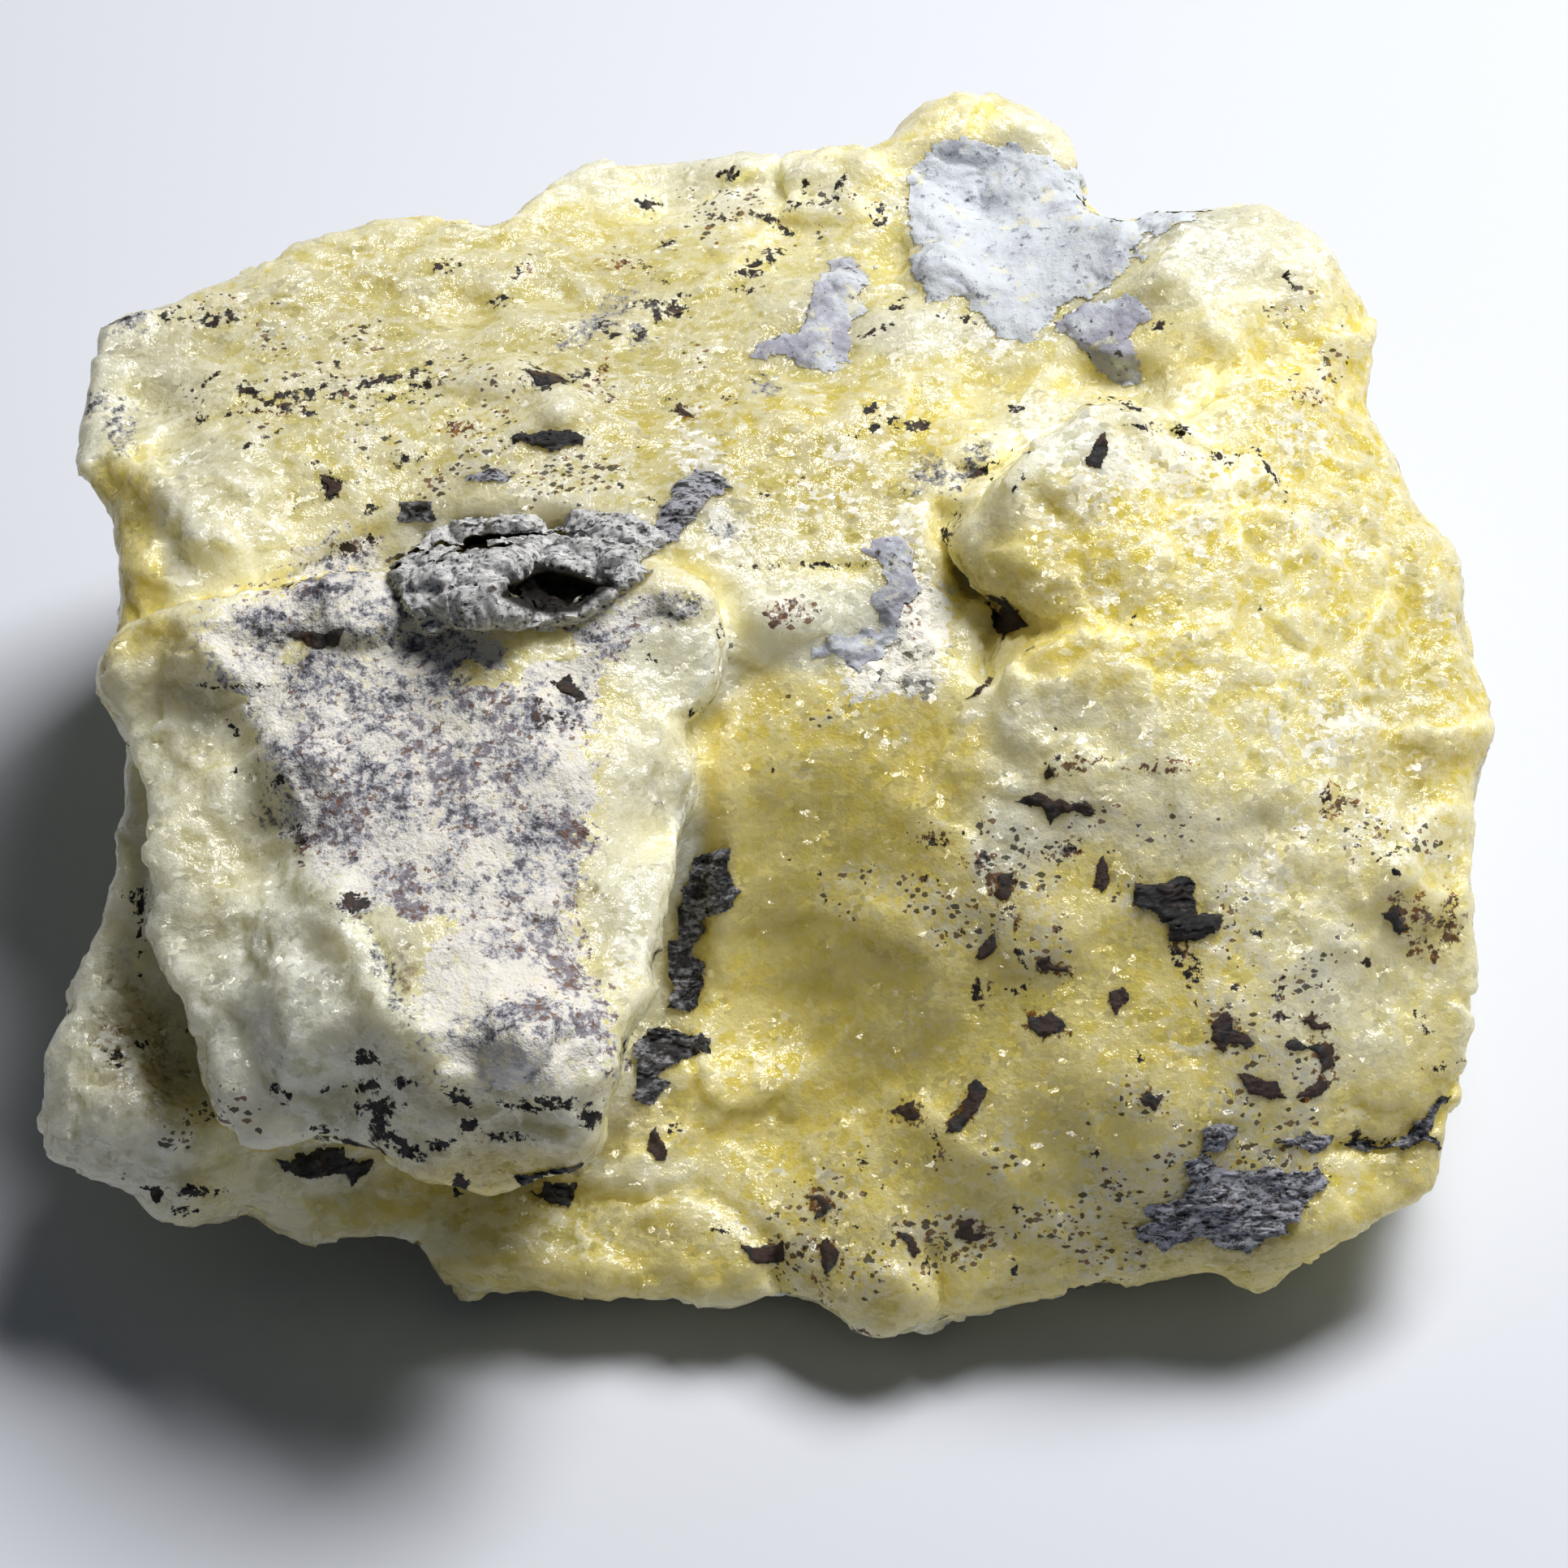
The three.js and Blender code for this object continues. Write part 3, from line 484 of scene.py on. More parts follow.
# What the stone carries on its face, as (u, v, half length, half width, turn in degrees), in millimetres.
GREY_STAINS = [
    (-23.6, 7.4, 1.5, 0.7, -10), (-20.4, 9.4, 1.6, 1, 30), (-18.6, 7.4, 1.6, 1.1, 0), (-21, 5, 1.8, 1, 0),
    (-18.4, 4, 1.7, 1, 0), (-15.6, 4.6, 1.2, 0.8, 0), (-19, 2.6, 0.7, 0.4, 0), (-22.6, 1.7, 0.6, 0.5, 0),
    (-19.6, 1.6, 0.6, 0.4, 0), (-18.6, 0.4, 1.4, 0.8, -10), (-17.7, -0.5, 0.6, 0.5, 0),
    (-14.6, 1.2, 0.5, 0.8, 0), (-15.2, -1.4, 1.2, 0.6, -10), (-17.6, -1.6, 0.7, 0.5, 0),
    (-11.3, 1, 0.9, 0.9, 20), (-11.6, 3, 0.7, 0.7, 0), (-19.9, -2.9, 0.4, 0.5, 0), (-15.4, -4, 0.5, 0.9, 0),
    (-14, -4.4, 0.5, 0.5, 0), (-12, -4, 1.1, 0.8, 20), (-11.4, -2.4, 1.2, 0.9, 20), (-10, -3, 0.5, 0.9, 0),
    (-9.7, 3.8, 0.7, 0.9, -30), (-11, -6.3, 0.8, 0.35, 0), (-12.6, -10.8, 2, 0.6, 10),
    (-10.8, -11.2, 1.2, 0.4, 0), (-14, -11.6, 0.8, 0.4, 0), (-12.4, -5, 0.6, 0.4, 0),
    (-18, -8.8, 0.3, 1.4, 20), (-23.2, -1.6, 0.8, 0.4, -40), (-4.5, 8, 0.8, 0.4, 15),
    (-8.2, 6.6, 0.9, 0.4, 0), (-16.6, 6.2, 1.2, 0.8, 0), (-14.8, 7, 0.9, 0.5, 0), (-24.2, 6.8, 0.6, 0.8, 0),
    (-2.6, 11.6, 0.6, 0.4, 0), (6.6, 14, 1, 0.7, 35), (8.4, 14.6, 1.2, 0.6, 50), (-0.8, 18.2, 0.5, 0.4, 0),
    (-8.4, 21.2, 1.8, 0.5, 35), (-6.6, 20.4, 0.4, 0.7, 0), (-29.8, 21.2, 1.1, 0.5, 0),
    (-30.2, 16.2, 0.6, 1, 0), (-31.4, 17.4, 0.5, 0.4, 0),
]
DARK_STAINS = [
    (-10.4, 8.7, 2.8, 1.1, 5), (-12.9, 11, 2.4, 0.6, 0), (-18.6, -14.8, 1, 0.35, 0),
    (-18.5, -15.7, 0.4, 0.7, 0), (-17.4, -16.5, 1.1, 0.35, -30), (-19, -12.5, 0.5, 0.35, 0),
    (-18.6, -13.7, 1.4, 0.2, 5), (-14.8, -14.3, 0.8, 0.25, -25), (-14.4, -15.6, 0.4, 0.4, 0),
    (-15.6, -16.4, 0.5, 0.2, 10), (-14.8, -18.3, 0.4, 0.5, 0), (-11, -14.6, 1.8, 0.25, 2),
    (-8.8, -15.3, 0.5, 0.4, 0), (-12.8, -16.1, 0.9, 0.2, 0), (-23.2, -13.9, 0.3, 0.2, 0),
    (-22.7, -14.4, 0.15, 0.3, 0), (-21, -15.8, 0.5, 0.12, 0), (-21.2, -16.2, 0.4, 0.15, -20),
    (-29.3, -5.6, 0.25, 0.6, 0), (-29.3, -6.9, 0.15, 1, 0), (-30, -5.2, 0.35, 0.12, -40),
    (-29.3, -12, 0.3, 0.25, 30), (-26.8, -18.6, 0.8, 0.25, 0), (-28.6, -18.7, 0.5, 0.25, -20),
    (-27.2, -19.4, 0.5, 0.2, 10), (-30.5, -12.5, 0.5, 0.3, -50), (-19.6, -5.4, 0.75, 0.45, 0),
    (-24.8, 4.4, 0.2, 0.08, 0), (-24, 4.4, 0.3, 0.08, 0), (-26.2, 4.5, 0.3, 0.07, 5),
    (-25, 2.4, 0.3, 0.08, -60), (-24.6, 0.4, 0.3, 0.1, -30), (-22, -2.4, 0.25, 0.4, 20),
    (-23, 0.2, 0.3, 0.2, 30), (3.9, 17.1, 0.35, 0.35, 0), (6.1, 16.3, 0.45, 0.25, 10),
    (4, 16.2, 0.6, 0.15, 20), (5, 16.4, 0.4, 0.15, -20), (-0.8, 13.3, 0.15, 0.35, -20),
    (-2.5, 17.6, 0.2, 0.12, 0), (-11.1, 18.4, 0.55, 0.4, -40), (-9.8, 18.5, 0.9, 0.12, 12),
    (-11.8, 18.6, 0.2, 0.4, -15), (-8.9, 18.9, 0.25, 0.2, 0), (-8.4, 18, 0.35, 0.1, -50),
    (-4.9, 17.2, 0.4, 0.2, -30), (-1.4, 23.5, 0.75, 0.28, 22), (-0.6, 24.2, 0.35, 0.12, 10),
    (-1.6, 22.6, 0.5, 0.15, 8), (-5.8, 23.2, 1, 0.1, -32), (-6, 21.8, 1, 0.2, 0), (-4.9, 21.6, 0.3, 0.4, 0),
    (-5.6, 21.4, 0.3, 0.25, 0), (-7.9, 20.5, 0.3, 0.2, 0), (-6.6, 20.4, 0.18, 0.35, -20),
    (-8.2, 21.1, 0.2, 0.1, 40), (-5.3, 24.6, 0.3, 0.18, 0), (-6.2, 26.4, 0.45, 0.28, -20),
    (-2.8, 25.8, 0.35, 0.15, -10), (-2.5, 27.8, 0.45, 0.3, 0), (-0.8, 25.8, 0.6, 0.15, -20),
    (0.3, 25.2, 0.3, 0.15, 30), (0.4, 26.4, 0.3, 0.15, 25), (1, 27.2, 0.15, 0.3, 0),
    (2.6, 27.5, 0.3, 0.18, 50), (2, 26.6, 0.6, 0.12, 20), (4.4, 26.2, 0.4, 0.15, 10),
    (4.3, 25.6, 0.4, 0.12, 20), (5.2, 21.8, 0.35, 0.15, 40), (4.2, 20.7, 0.5, 0.12, 15),
    (8.2, 21.2, 0.8, 0.1, -8), (-15.5, 23.6, 0.55, 0.25, 5), (-12, 23.3, 0.35, 0.28, 40),
    (-13, 22, 0.5, 0.12, 0), (-25.9, 21.2, 0.95, 0.3, 8), (-28.2, 21.4, 0.5, 0.2, 25),
    (-30.2, 21.5, 0.3, 0.15, 0), (-26.7, 16.7, 0.35, 0.2, 30), (-25.3, 16.8, 0.25, 0.1, 0),
    (-24.5, 18.1, 0.55, 0.35, -40), (-23.8, 17.2, 0.5, 0.12, 10), (-22.4, 17, 0.7, 0.13, -15),
    (-22.2, 17.7, 1, 0.15, 0), (-21.2, 18.2, 0.6, 0.12, 20), (-20.2, 17.8, 0.7, 0.12, 0),
    (-18.6, 18.4, 0.8, 0.22, 0), (-17.2, 18.6, 0.7, 0.12, 15), (-16.4, 18.2, 0.6, 0.12, 5),
    (-16.6, 18.9, 0.5, 0.12, 25), (-18, 17.5, 0.35, 0.2, 15), (-16.8, 17.6, 0.5, 0.1, 10),
    (-20.8, 19, 0.4, 0.1, 20), (-26.2, 18.6, 0.35, 0.1, 30), (-27.2, 17.8, 0.3, 0.1, -30),
    (-20.6, 13.6, 0.45, 0.5, 30), (-21.4, 14.6, 0.25, 0.12, 0), (-24.3, 15.5, 0.18, 0.1, 0),
    (-17.6, 15.1, 0.2, 0.1, 0), (-17, 14.8, 0.4, 0.15, 20), (-12.6, 15.5, 0.2, 0.06, 0),
    (-7.4, 13.6, 0.15, 0.08, 0), (-6.3, 13.2, 0.4, 0.1, -30), (-18.8, 12.6, 0.3, 0.2, 0),
    (-22.4, 12.4, 0.4, 0.1, 20), (-18.8, 11.1, 0.4, 0.25, -10), (-19.8, 10.8, 0.6, 0.3, 20),
    (10.6, 17.1, 0.3, 0.12, 10), (15.5, 17.3, 0.5, 0.1, -20), (16.4, 16.3, 0.4, 0.08, 0),
    (18.1, 16.1, 0.35, 0.22, 0), (19.6, 15, 0.5, 0.08, 0), (20.3, 14.7, 0.22, 0.13, 0),
    (22.4, 13.9, 0.75, 0.07, -58), (17.3, 20.8, 0.4, 0.18, -5), (23.1, 23.1, 0.22, 0.35, 20),
    (22.1, 21.6, 0.15, 0.25, 0), (23.1, 18.4, 0.2, 0.1, 40), (23.8, 17.6, 0.3, 0.12, 0),
    (7.4, 11.4, 0.12, 0.35, 15), (7.9, 12.4, 0.08, 0.3, 0), (10.8, 14, 0.1, 0.4, -25),
    (3.4, 11.8, 0.1, 0.15, 0), (1.7, 10, 1.3, 0.06, 0), (-2.9, 6.9, 0.08, 0.2, 0), (-6.1, 5.7, 0.2, 0.1, 0),
    (-4.1, 3.3, 0.2, 0.08, 20), (-9.7, 4.4, 0.6, 0.25, -15), (-10.3, 3.1, 0.4, 0.12, 10),
    (-11.2, 3.2, 0.2, 0.5, 0), (-9.5, 2.5, 0.3, 0.15, 0), (0, -3.2, 0.22, 0.09, -30),
    (1.6, -4, 0.13, 0.13, 0), (1.8, -5.5, 0.17, 0.1, 0), (-0.4, 0.7, 0.07, 0.25, 10),
    (15.9, 7.6, 0.05, 0.09, 0), (21.7, 7.9, 0.12, 0.08, 0), (12.5, 2.5, 0.06, 0.05, 0),
    (18.2, -0.3, 0.15, 0.15, 0), (12.5, 1.1, 0.2, 0.08, 20), (24.7, -0.7, 0.2, 0.4, 0),
    (8.8, -9.5, 0.3, 0.45, 0), (9.3, -3.4, 0.35, 0.2, -60), (11.1, -9, 0.06, 0.3, 0),
    (10.5, -9.4, 0.3, 0.12, 10), (18.9, -8.3, 0.2, 0.35, 0), (18.7, -9, 0.3, 0.25, 20),
    (18.9, -10, 0.22, 0.12, 0), (20.7, -9.2, 0.25, 0.12, 0), (22.4, -9.7, 0.3, 0.2, -30),
    (22.7, -10.6, 0.5, 0.25, 0), (21.5, -6.8, 0.2, 0.25, 30), (22.7, -9, 0.25, 0.15, 0),
    (20.8, -5.8, 0.15, 0.1, 0), (13.8, -11.3, 0.15, 0.12, 0), (16.2, -12.4, 0.25, 0.15, -10),
    (10.7, -7.7, 0.22, 0.15, 20), (12.4, -6.7, 0.25, 0.12, 20), (10.4, -5.7, 0.2, 0.12, 30),
    (6.7, -4.4, 0.3, 0.15, 0), (7.8, -2.3, 0.25, 0.1, 10), (6.6, -2.7, 0.4, 0.12, 10),
    (8.5, -6.6, 0.3, 0.15, -10), (14.9, -2.9, 0.15, 0.06, 20), (12.8, -2.9, 0.6, 0.25, 10),
    (6.7, -15.8, 0.15, 0.25, 20), (3.5, -17.3, 0.25, 0.18, 30), (6.7, -17, 0.1, 0.25, -30),
    (14.3, -17, 0.25, 0.15, 0), (12, -17.6, 0.15, 0.2, 30), (15.1, -18.3, 0.35, 0.15, 0),
    (10.5, -19.4, 0.35, 0.15, 10), (12.9, -20, 0.35, 0.2, -30), (10.4, -22.1, 0.2, 0.35, 20),
    (13, -21.8, 0.15, 0.08, 0), (6.5, -22, 0.06, 0.35, 10), (-3.1, -20.6, 0.3, 0.15, -20),
    (-2.7, -20.4, 0.2, 0.15, 20), (3.3, -25.1, 0.35, 0.12, -15), (1.4, -23.7, 0.3, 0.1, 0),
    (14.3, -22.9, 0.2, 0.15, 30), (16.4, -15.4, 0.2, 0.1, 0), (3.4, -20.2, 0.15, 0.08, 0),
    (-4.9, -15.7, 0.3, 0.15, 20), (17.4, -17.3, 0.3, 0.2, 30), (26, -16, 0.3, 0.2, 0),
    (27.2, -16.3, 0.4, 0.15, 0), (29.1, -10.8, 0.2, 0.6, 25), (30, -12.9, 0.6, 0.1, 10),
    (25.9, -6.5, 0.08, 0.12, 0), (26.6, -8.1, 0.2, 0.1, 0), (28, -4.1, 0.2, 0.2, 0),
    (27.4, -3.3, 0.4, 0.12, 20), (23.9, -2.7, 0.15, 0.2, 0), (17.9, -7.9, 0.25, 0.3, 30),
]
RUST_STAINS = [
    (28.1, -6.2, 0.65, 0.3, -60), (27.8, -5.7, 0.4, 0.35, 0), (29.2, -6, 0.8, 0.2, -8),
    (30.3, -6.6, 0.3, 0.6, 0), (30.5, -5.1, 0.12, 0.3, 0), (29, -5.1, 0.2, 0.25, 0),
    (28.8, -7.4, 0.2, 0.35, -30), (29.6, -7.8, 0.25, 0.25, 0), (11.9, -11, 0.9, 0.5, -20),
    (9.9, -4.6, 0.6, 0.7, 20), (8.9, -3.6, 0.4, 0.6, 30), (9.1, -9.6, 0.3, 0.4, 0),
    (24.8, -0.7, 0.3, 0.5, 0), (25.4, -0.8, 0.5, 0.25, 0), (-14.8, 16.3, 0.6, 0.2, 0),
    (-23.4, 17.1, 0.8, 0.2, 0), (1.8, -19.2, 0.7, 0.4, -40), (2.3, -21.3, 0.3, 0.5, 0),
    (1.7, -22.5, 0.12, 0.3, 0), (8.6, -20.3, 0.7, 0.3, -20), (12.8, -3, 0.7, 0.35, 20),
    (24.7, -12.3, 0.5, 0.5, -40), (8.1, -15, 0.7, 0.3, 60), (5.6, -15, 0.6, 0.35, -10),
    (20.1, -10.9, 0.5, 0.5, 0), (24.3, -13.8, 0.6, 0.3, 40), (24.2, -10.9, 0.5, 0.3, -20),
    (16.9, -14.4, 0.5, 0.3, -30), (-0.3, -21.3, 0.4, 0.4, 0), (0.8, -21, 0.2, 0.3, 0),
    (5.7, -20.4, 0.6, 0.15, -10), (8.5, -21.4, 0.3, 0.2, 0), (6.9, -2.5, 0.6, 0.2, 10),
    (12.1, -8.4, 0.4, 0.2, 0), (13, -8.6, 0.3, 0.2, 0), (10.4, -6.2, 0.3, 0.3, 0),
    (18.2, -7.7, 0.5, 0.25, -60), (0.4, 8, 0.5, 0.3, 0), (-0.4, 7.6, 0.4, 0.4, 0), (5.8, 8.6, 0.2, 0.8, 0),
    (24, 17.6, 0.4, 0.2, -10), (13.4, 0.9, 0.6, 0.2, 10), (16.2, 0.7, 0.4, 0.2, 0),
    (17.8, 0.8, 0.5, 0.2, 0), (7.2, -16.9, 0.1, 0.3, -20), (-8.6, 18.5, 0.15, 0.4, -40),
    (-4.4, 17, 0.3, 0.2, 0), (1.3, 13.8, 0.4, 0.12, 0), (-11.8, 23.5, 0.3, 0.2, 40),
    (-7.4, 23.7, 0.5, 0.2, 0), (3.4, -25.1, 0.4, 0.15, 0), (15.6, -23.3, 0.2, 0.15, 0),
]
FAR_MM = 3.0  # marks are measured out to this distance


def from_marks(u, v, marks):
    """The distance in millimetres from each point to the edge of the nearest mark, negative within it."""
    nearest = np.full_like(u, FAR_MM)
    for at_u, at_v, length, width, turn in marks:
        reach = max(length, width) + FAR_MM
        close = np.flatnonzero((np.abs(u - at_u) < reach) & (np.abs(v - at_v) < reach))
        c, s = math.cos(math.radians(turn)), math.sin(math.radians(turn))
        du, dv = u[close] - at_u, v[close] - at_v
        shape = np.hypot((du * c + dv * s) / length, (dv * c - du * s) / width) - 1
        nearest[close] = np.minimum(nearest[close], shape * min(length, width))
    return nearest


def set_attribute(mesh, name, values):
    """Stores a number on each corner for the material to read: one for all of them, or one for each."""
    attribute = mesh.attributes.new(name, "FLOAT", "POINT")
    spread = np.broadcast_to(values, len(mesh.vertices))
    attribute.data.foreach_set("value", np.ascontiguousarray(spread, dtype=np.float32))


def averaged(mesh, values, rounds):
    """Three numbers at each corner, averaged over its neighbours the given number of times."""
    ends = np.empty(len(mesh.edges) * 2, dtype=int)
    mesh.edges.foreach_get("vertices", ends)
    a, b = ends.reshape(-1, 2).T
    count = np.maximum(np.bincount(np.concatenate((a, b)), minlength=len(values)), 1)
    for _ in range(rounds):
        totals = [
            np.bincount(a, values[b, axis], len(values)) + np.bincount(b, values[a, axis], len(values))
            for axis in range(3)
        ]
        values = np.column_stack([total / count for total in totals])
    return values


def standing_out(mesh, rounds):
    """How far each corner stands out of its neighbourhood, in millimetres, after rounds of averaging."""
    return ((corners(mesh) - averaged(mesh, corners(mesh), rounds)) * outward(mesh)).sum(axis=1)


EDGE_ON = 0.08  # cosine of the angle past which skin counts as turned away
CLEARANCE = 0.5 * MM  # from which a line of sight starts, so that the skin's own grain doesn't stop it
SIGHT = 0.2  # metres that a line of sight is followed


def in_view(mesh):
    """1 for each corner that the display face shows, and 0 for those behind or below it."""
    tree = BVHTree.FromPolygons([p.co for p in mesh.vertices], [f.vertices for f in mesh.polygons])
    eye = camera.location
    seen = np.zeros(len(mesh.vertices))
    for vertex, normal in zip(mesh.vertices, mesh.vertex_normals):
        towards = (eye - vertex.co).normalized()
        if normal.vector.dot(towards) < EDGE_ON:
            continue
        if tree.ray_cast(vertex.co + towards * CLEARANCE, towards, SIGHT)[0] is None:
            seen[vertex.index] = 1
    return seen


mesh = brucite.data
points = corners(mesh)
u, v = seen_at(points)
seen = in_view(mesh)
hidden_mm = (1 - seen) * FAR_MM
# Behind and below, the same stains lie in a few patches of noise. The last value says how rare they are.
STAINS = [("dark_mm", DARK_STAINS, 0.9), ("grey_mm", GREY_STAINS, 0.76), ("rust_mm", RUST_STAINS, 0.95)]
for name, marks, rarity in STAINS:
    behind = 2 * (rarity - blotch(points, 2.2, 400 + len(marks)))
    set_attribute(mesh, name, np.where(seen > 0, from_marks(u, v, marks), behind))
set_attribute(mesh, "ridge", standing_out(mesh, 3))
set_attribute(mesh, "hill", standing_out(mesh, 50))
# How squarely the skin meets the window's light, over a millimetre or two.
TO_WINDOW = [0.35, 0.33, 0.876]
set_attribute(mesh, "lit", averaged(mesh, outward(mesh), 20) @ TO_WINDOW)

# Outlines of (u, v) on the face: the granular crust on the block's top, and white powder beside the crescent.
CRUST = [
    (-26.8, 6.6), (-26, 7.8), (-23.8, 8.6), (-22.8, 10.2), (-20.2, 11.6), (-18.4, 11.4), (-17.6, 9),
    (-14.2, 7.2), (-12, 6.8), (-9.4, 7), (-7.8, 8.2), (-5.4, 8.8), (-3.8, 8), (-6, 7), (-8.4, 5.6),
    (-8.8, 3), (-8.6, 0), (-9, -3), (-9.6, -6), (-9, -8.6), (-8, -9.6), (-7.6, -13.4), (-12, -13.6),
    (-15.4, -13.2), (-16.4, -11.2), (-17.4, -9.8), (-19.4, -7.8), (-20.2, -6), (-21.4, -4), (-22.4, -2),
    (-23.2, 0.8), (-24.2, 3.2), (-25.4, 5),
]
POWDER = [
    (5.6, 10.6), (6.6, 9.4), (7.4, 8.8), (7.7, 7.4), (7.1, 5.4), (6.8, 4), (5, 3.8), (3.2, 3.8), (2.4, 4.8),
    (2.8, 6), (4.4, 6.4), (5.2, 8),
]
# Patches of (u, v, radius u, radius v): tanned skin, gaps in the crust, frosting on the cleavage with painted
# glints among it, fine pepper, and honey skin, darker skin that is partly painted shade, and pale skin.
TAN = [
    (-11.6, -15.4, 5.4, 2.4), (-16.4, -14.4, 2.4, 0.8), (-17.4, -8.3, 0.4, 1.4), (-10.4, -5, 2, 0.6),
    (-21.4, 10.2, 1.4, 0.8), (-29.6, -12, 2, 4), (-14, -16.8, 3, 1),
]
BARE = [
    (-18, -7.6, 1.8, 1.8), (-16, -6.6, 1.6, 1), (-14.6, 5, 1.2, 0.6), (-13.4, 4.4, 1, 0.6),
    (-11, 6, 1.4, 0.8), (-22, 6, 0.8, 0.5), (-15.6, 2.6, 0.8, 0.6),
]
FROST_AND_GLINTS = [
    (16.5, 15, 5, 1.6), (12.6, 16, 2.4, 1.4), (20.6, 14, 2.4, 1.2), (11.8, 12.2, 1, 1.8),
    (24.6, 11.8, 1.4, 1), (25.6, 3, 1.8, 1.2), (24.6, 1.8, 1, 1), (23.4, 4.6, 1, 0.6), (26, 10.4, 1, 0.5),
    (17.6, 18, 1.6, 0.8), (24.2, 24.2, 1.4, 0.8), (23.4, 16, 1.6, 1), (19, 12, 1.4, 1), (14, 13, 1.6, 1),
    (6, 12.6, 0.8, 2.6), (2.4, 13, 2, 0.5), (3.4, 15.2, 1.8, 0.5), (-4, 15.4, 1.4, 1.8),
    (-2.4, 12, 1.4, 1.2), (0.6, 0.4, 1, 0.7), (3.6, 1.8, 0.8, 0.5), (4.8, 1.9, 0.8, 0.5),
    (4.4, 1.2, 0.5, 0.4), (2.4, 3, 0.5, 0.4), (12.5, 17, 2, 0.4), (-6.4, -0.4, 1, 0.8),
    (-4.8, -3.8, 0.6, 0.6), (-2.6, 5, 1, 2), (-4.4, -1, 0.8, 3), (-6.6, -8, 1, 2), (18, 25, 2.4, 1.2),
    (10, 20.4, 3, 0.8), (-22, -9, 1.6, 2), (-26.6, 4, 1, 2), (-30, -12, 1.6, 1.4), (13, 8.6, 3, 1.4),
    (8.2, 3, 0.8, 0.6), (19, 10.6, 1, 0.4), (-24.4, -7.4, 0.5, 0.7), (-20.4, -9, 0.7, 0.6),
    (-24.2, -12.4, 0.8, 0.6), (22.4, 2.4, 0.5, 1.2), (1.9, -17.5, 0.8, 0.5), (4.5, -12.6, 0.5, 0.6),
    (2, -13.8, 0.4, 0.4), (7.6, -18.2, 0.8, 0.3), (0.7, -11.9, 0.5, 0.3), (7.8, -12.2, 0.6, 0.3),
    (5.8, -11.2, 0.8, 0.6), (-9, 17.6, 0.8, 0.7), (-27.2, 14.8, 0.7, 0.4), (30, 8, 0.4, 1.4),
    (29, 1, 0.6, 0.8), (22, -4, 1.4, 1.4), (26, -15, 1, 0.5), (18.4, -12, 1.6, 0.3), (16.4, -14.8, 1, 0.3),
]
PEPPER = [
    (11, -5, 6, 5), (4, -5, 3.4, 1.6), (22, -8, 4, 6), (13, -2, 7, 1.6), (17, -17, 9, 4), (4, -20, 8, 4),
    (12, -20, 8, 3), (-20, 17.6, 9, 3), (-12, 14.6, 8, 2.4), (0, 26, 6, 2), (27.6, -3, 3, 2.4),
    (-24, 21, 7, 1.6), (22, -14, 4, 4), (0.6, 7.8, 1.4, 1), (1, 3.4, 1.6, 1), (-27, -16, 4, 3),
    (24, 20, 2, 4), (-8, 20, 5, 3),
]
HONEY = [
    (0, -9, 6, 7), (3, -5, 5, 6), (10, -18, 12, 5), (14, -8, 6, 4), (-8, -20, 10, 3), (-1, -4, 3, 8),
    (2, 1, 6, 3), (16, 9, 7, 4), (26, 14, 6, 8), (29, 5, 4, 5), (2, 12.5, 4, 3), (6, -16, 9, 7),
    (-30, 11, 2, 4), (12, -12, 8, 6), (22, -20, 7, 3), (28, -18, 4, 4), (0, 16, 8, 2),
]
DEEP_AND_SHADED = [
    (-14, 20, 18, 5), (-14, 13, 14, 4), (2, 13, 5, 4), (14, -21, 10, 1.6), (-27, -2, 3, 8),
    (-31, -14, 4, 4), (-9, -20.6, 10, 2.6), (28, 2, 2, 5),
]
PALE = [
    (-23, -6, 6, 10), (-31, -14, 4, 6), (-26, 12, 3.4, 4), (-6, -4, 3, 8), (-5, 6, 3, 3), (15, 16, 7, 1.6),
    (21, 24, 5, 3), (-30, 19, 4, 4), (-6, 28, 9, 2), (-6, -18, 4, 1), (0.6, 8, 4, 2.4),
    (-1.6, 11.4, 2.4, 2), (6, 20.6, 3, 1.2), (-10, 17.4, 1.6, 1), (-14, -20.6, 4, 1), (12, 29.6, 2, 1.4),
]
wander_u, wander_v = wandered(points, u, v, 0.5, 1.1, 81)
BARING = 4  # mm by which a gap sets the crust's edge back
crust_depth = within(wander_u, wander_v, CRUST) - hidden_mm
set_attribute(mesh, "crust_mm", crust_depth - BARING * near(wander_u, wander_v, BARE))
tan_behind = np.clip(blotch(points, 7, 171) - 0.5, 0, 1)
set_attribute(mesh, "tan", np.where(seen > 0, near(wander_u, wander_v, TAN), tan_behind))
set_attribute(mesh, "powder_mm", within(wander_u, wander_v, POWDER) - hidden_mm)
frost_behind = np.clip(blotch(points, 5, 121) - 0.2, 0, 1)
set_attribute(mesh, "frost_and_glints", np.where(seen > 0, near(wander_u, wander_v, FROST_AND_GLINTS), frost_behind))
pepper = np.where(seen > 0, near(u, v, PEPPER), np.clip(blotch(points, 9, 111) * 1.2, 0, 1))
set_attribute(mesh, "pepper", np.maximum(pepper, 0.06) * np.clip(0.55 + 0.8 * blotch(points, 2, 141), 0.1, 1))
set_attribute(mesh, "clump", blotch(points, 2.4, 151))
set_attribute(mesh, "deep_and_shaded", near(wander_u, wander_v, DEEP_AND_SHADED) * seen)
honey = np.where(seen > 0, 0.55 * near(u, v, HONEY) - 0.5 * near(u, v, PALE), 0.5 * blotch(points, 12, 131))
set_attribute(mesh, "honey", np.clip(0.54 + honey, 0, 1) + 0.14 * blotch(points, 5, 161))

# Broken brucite is waxy and pearly: a soft gloss on clean cleavage, light that sinks in a few millimetres,
# and matt where crust, powder or stains cover it.
wax, tree, output = new_material("translucent waxy brucite")


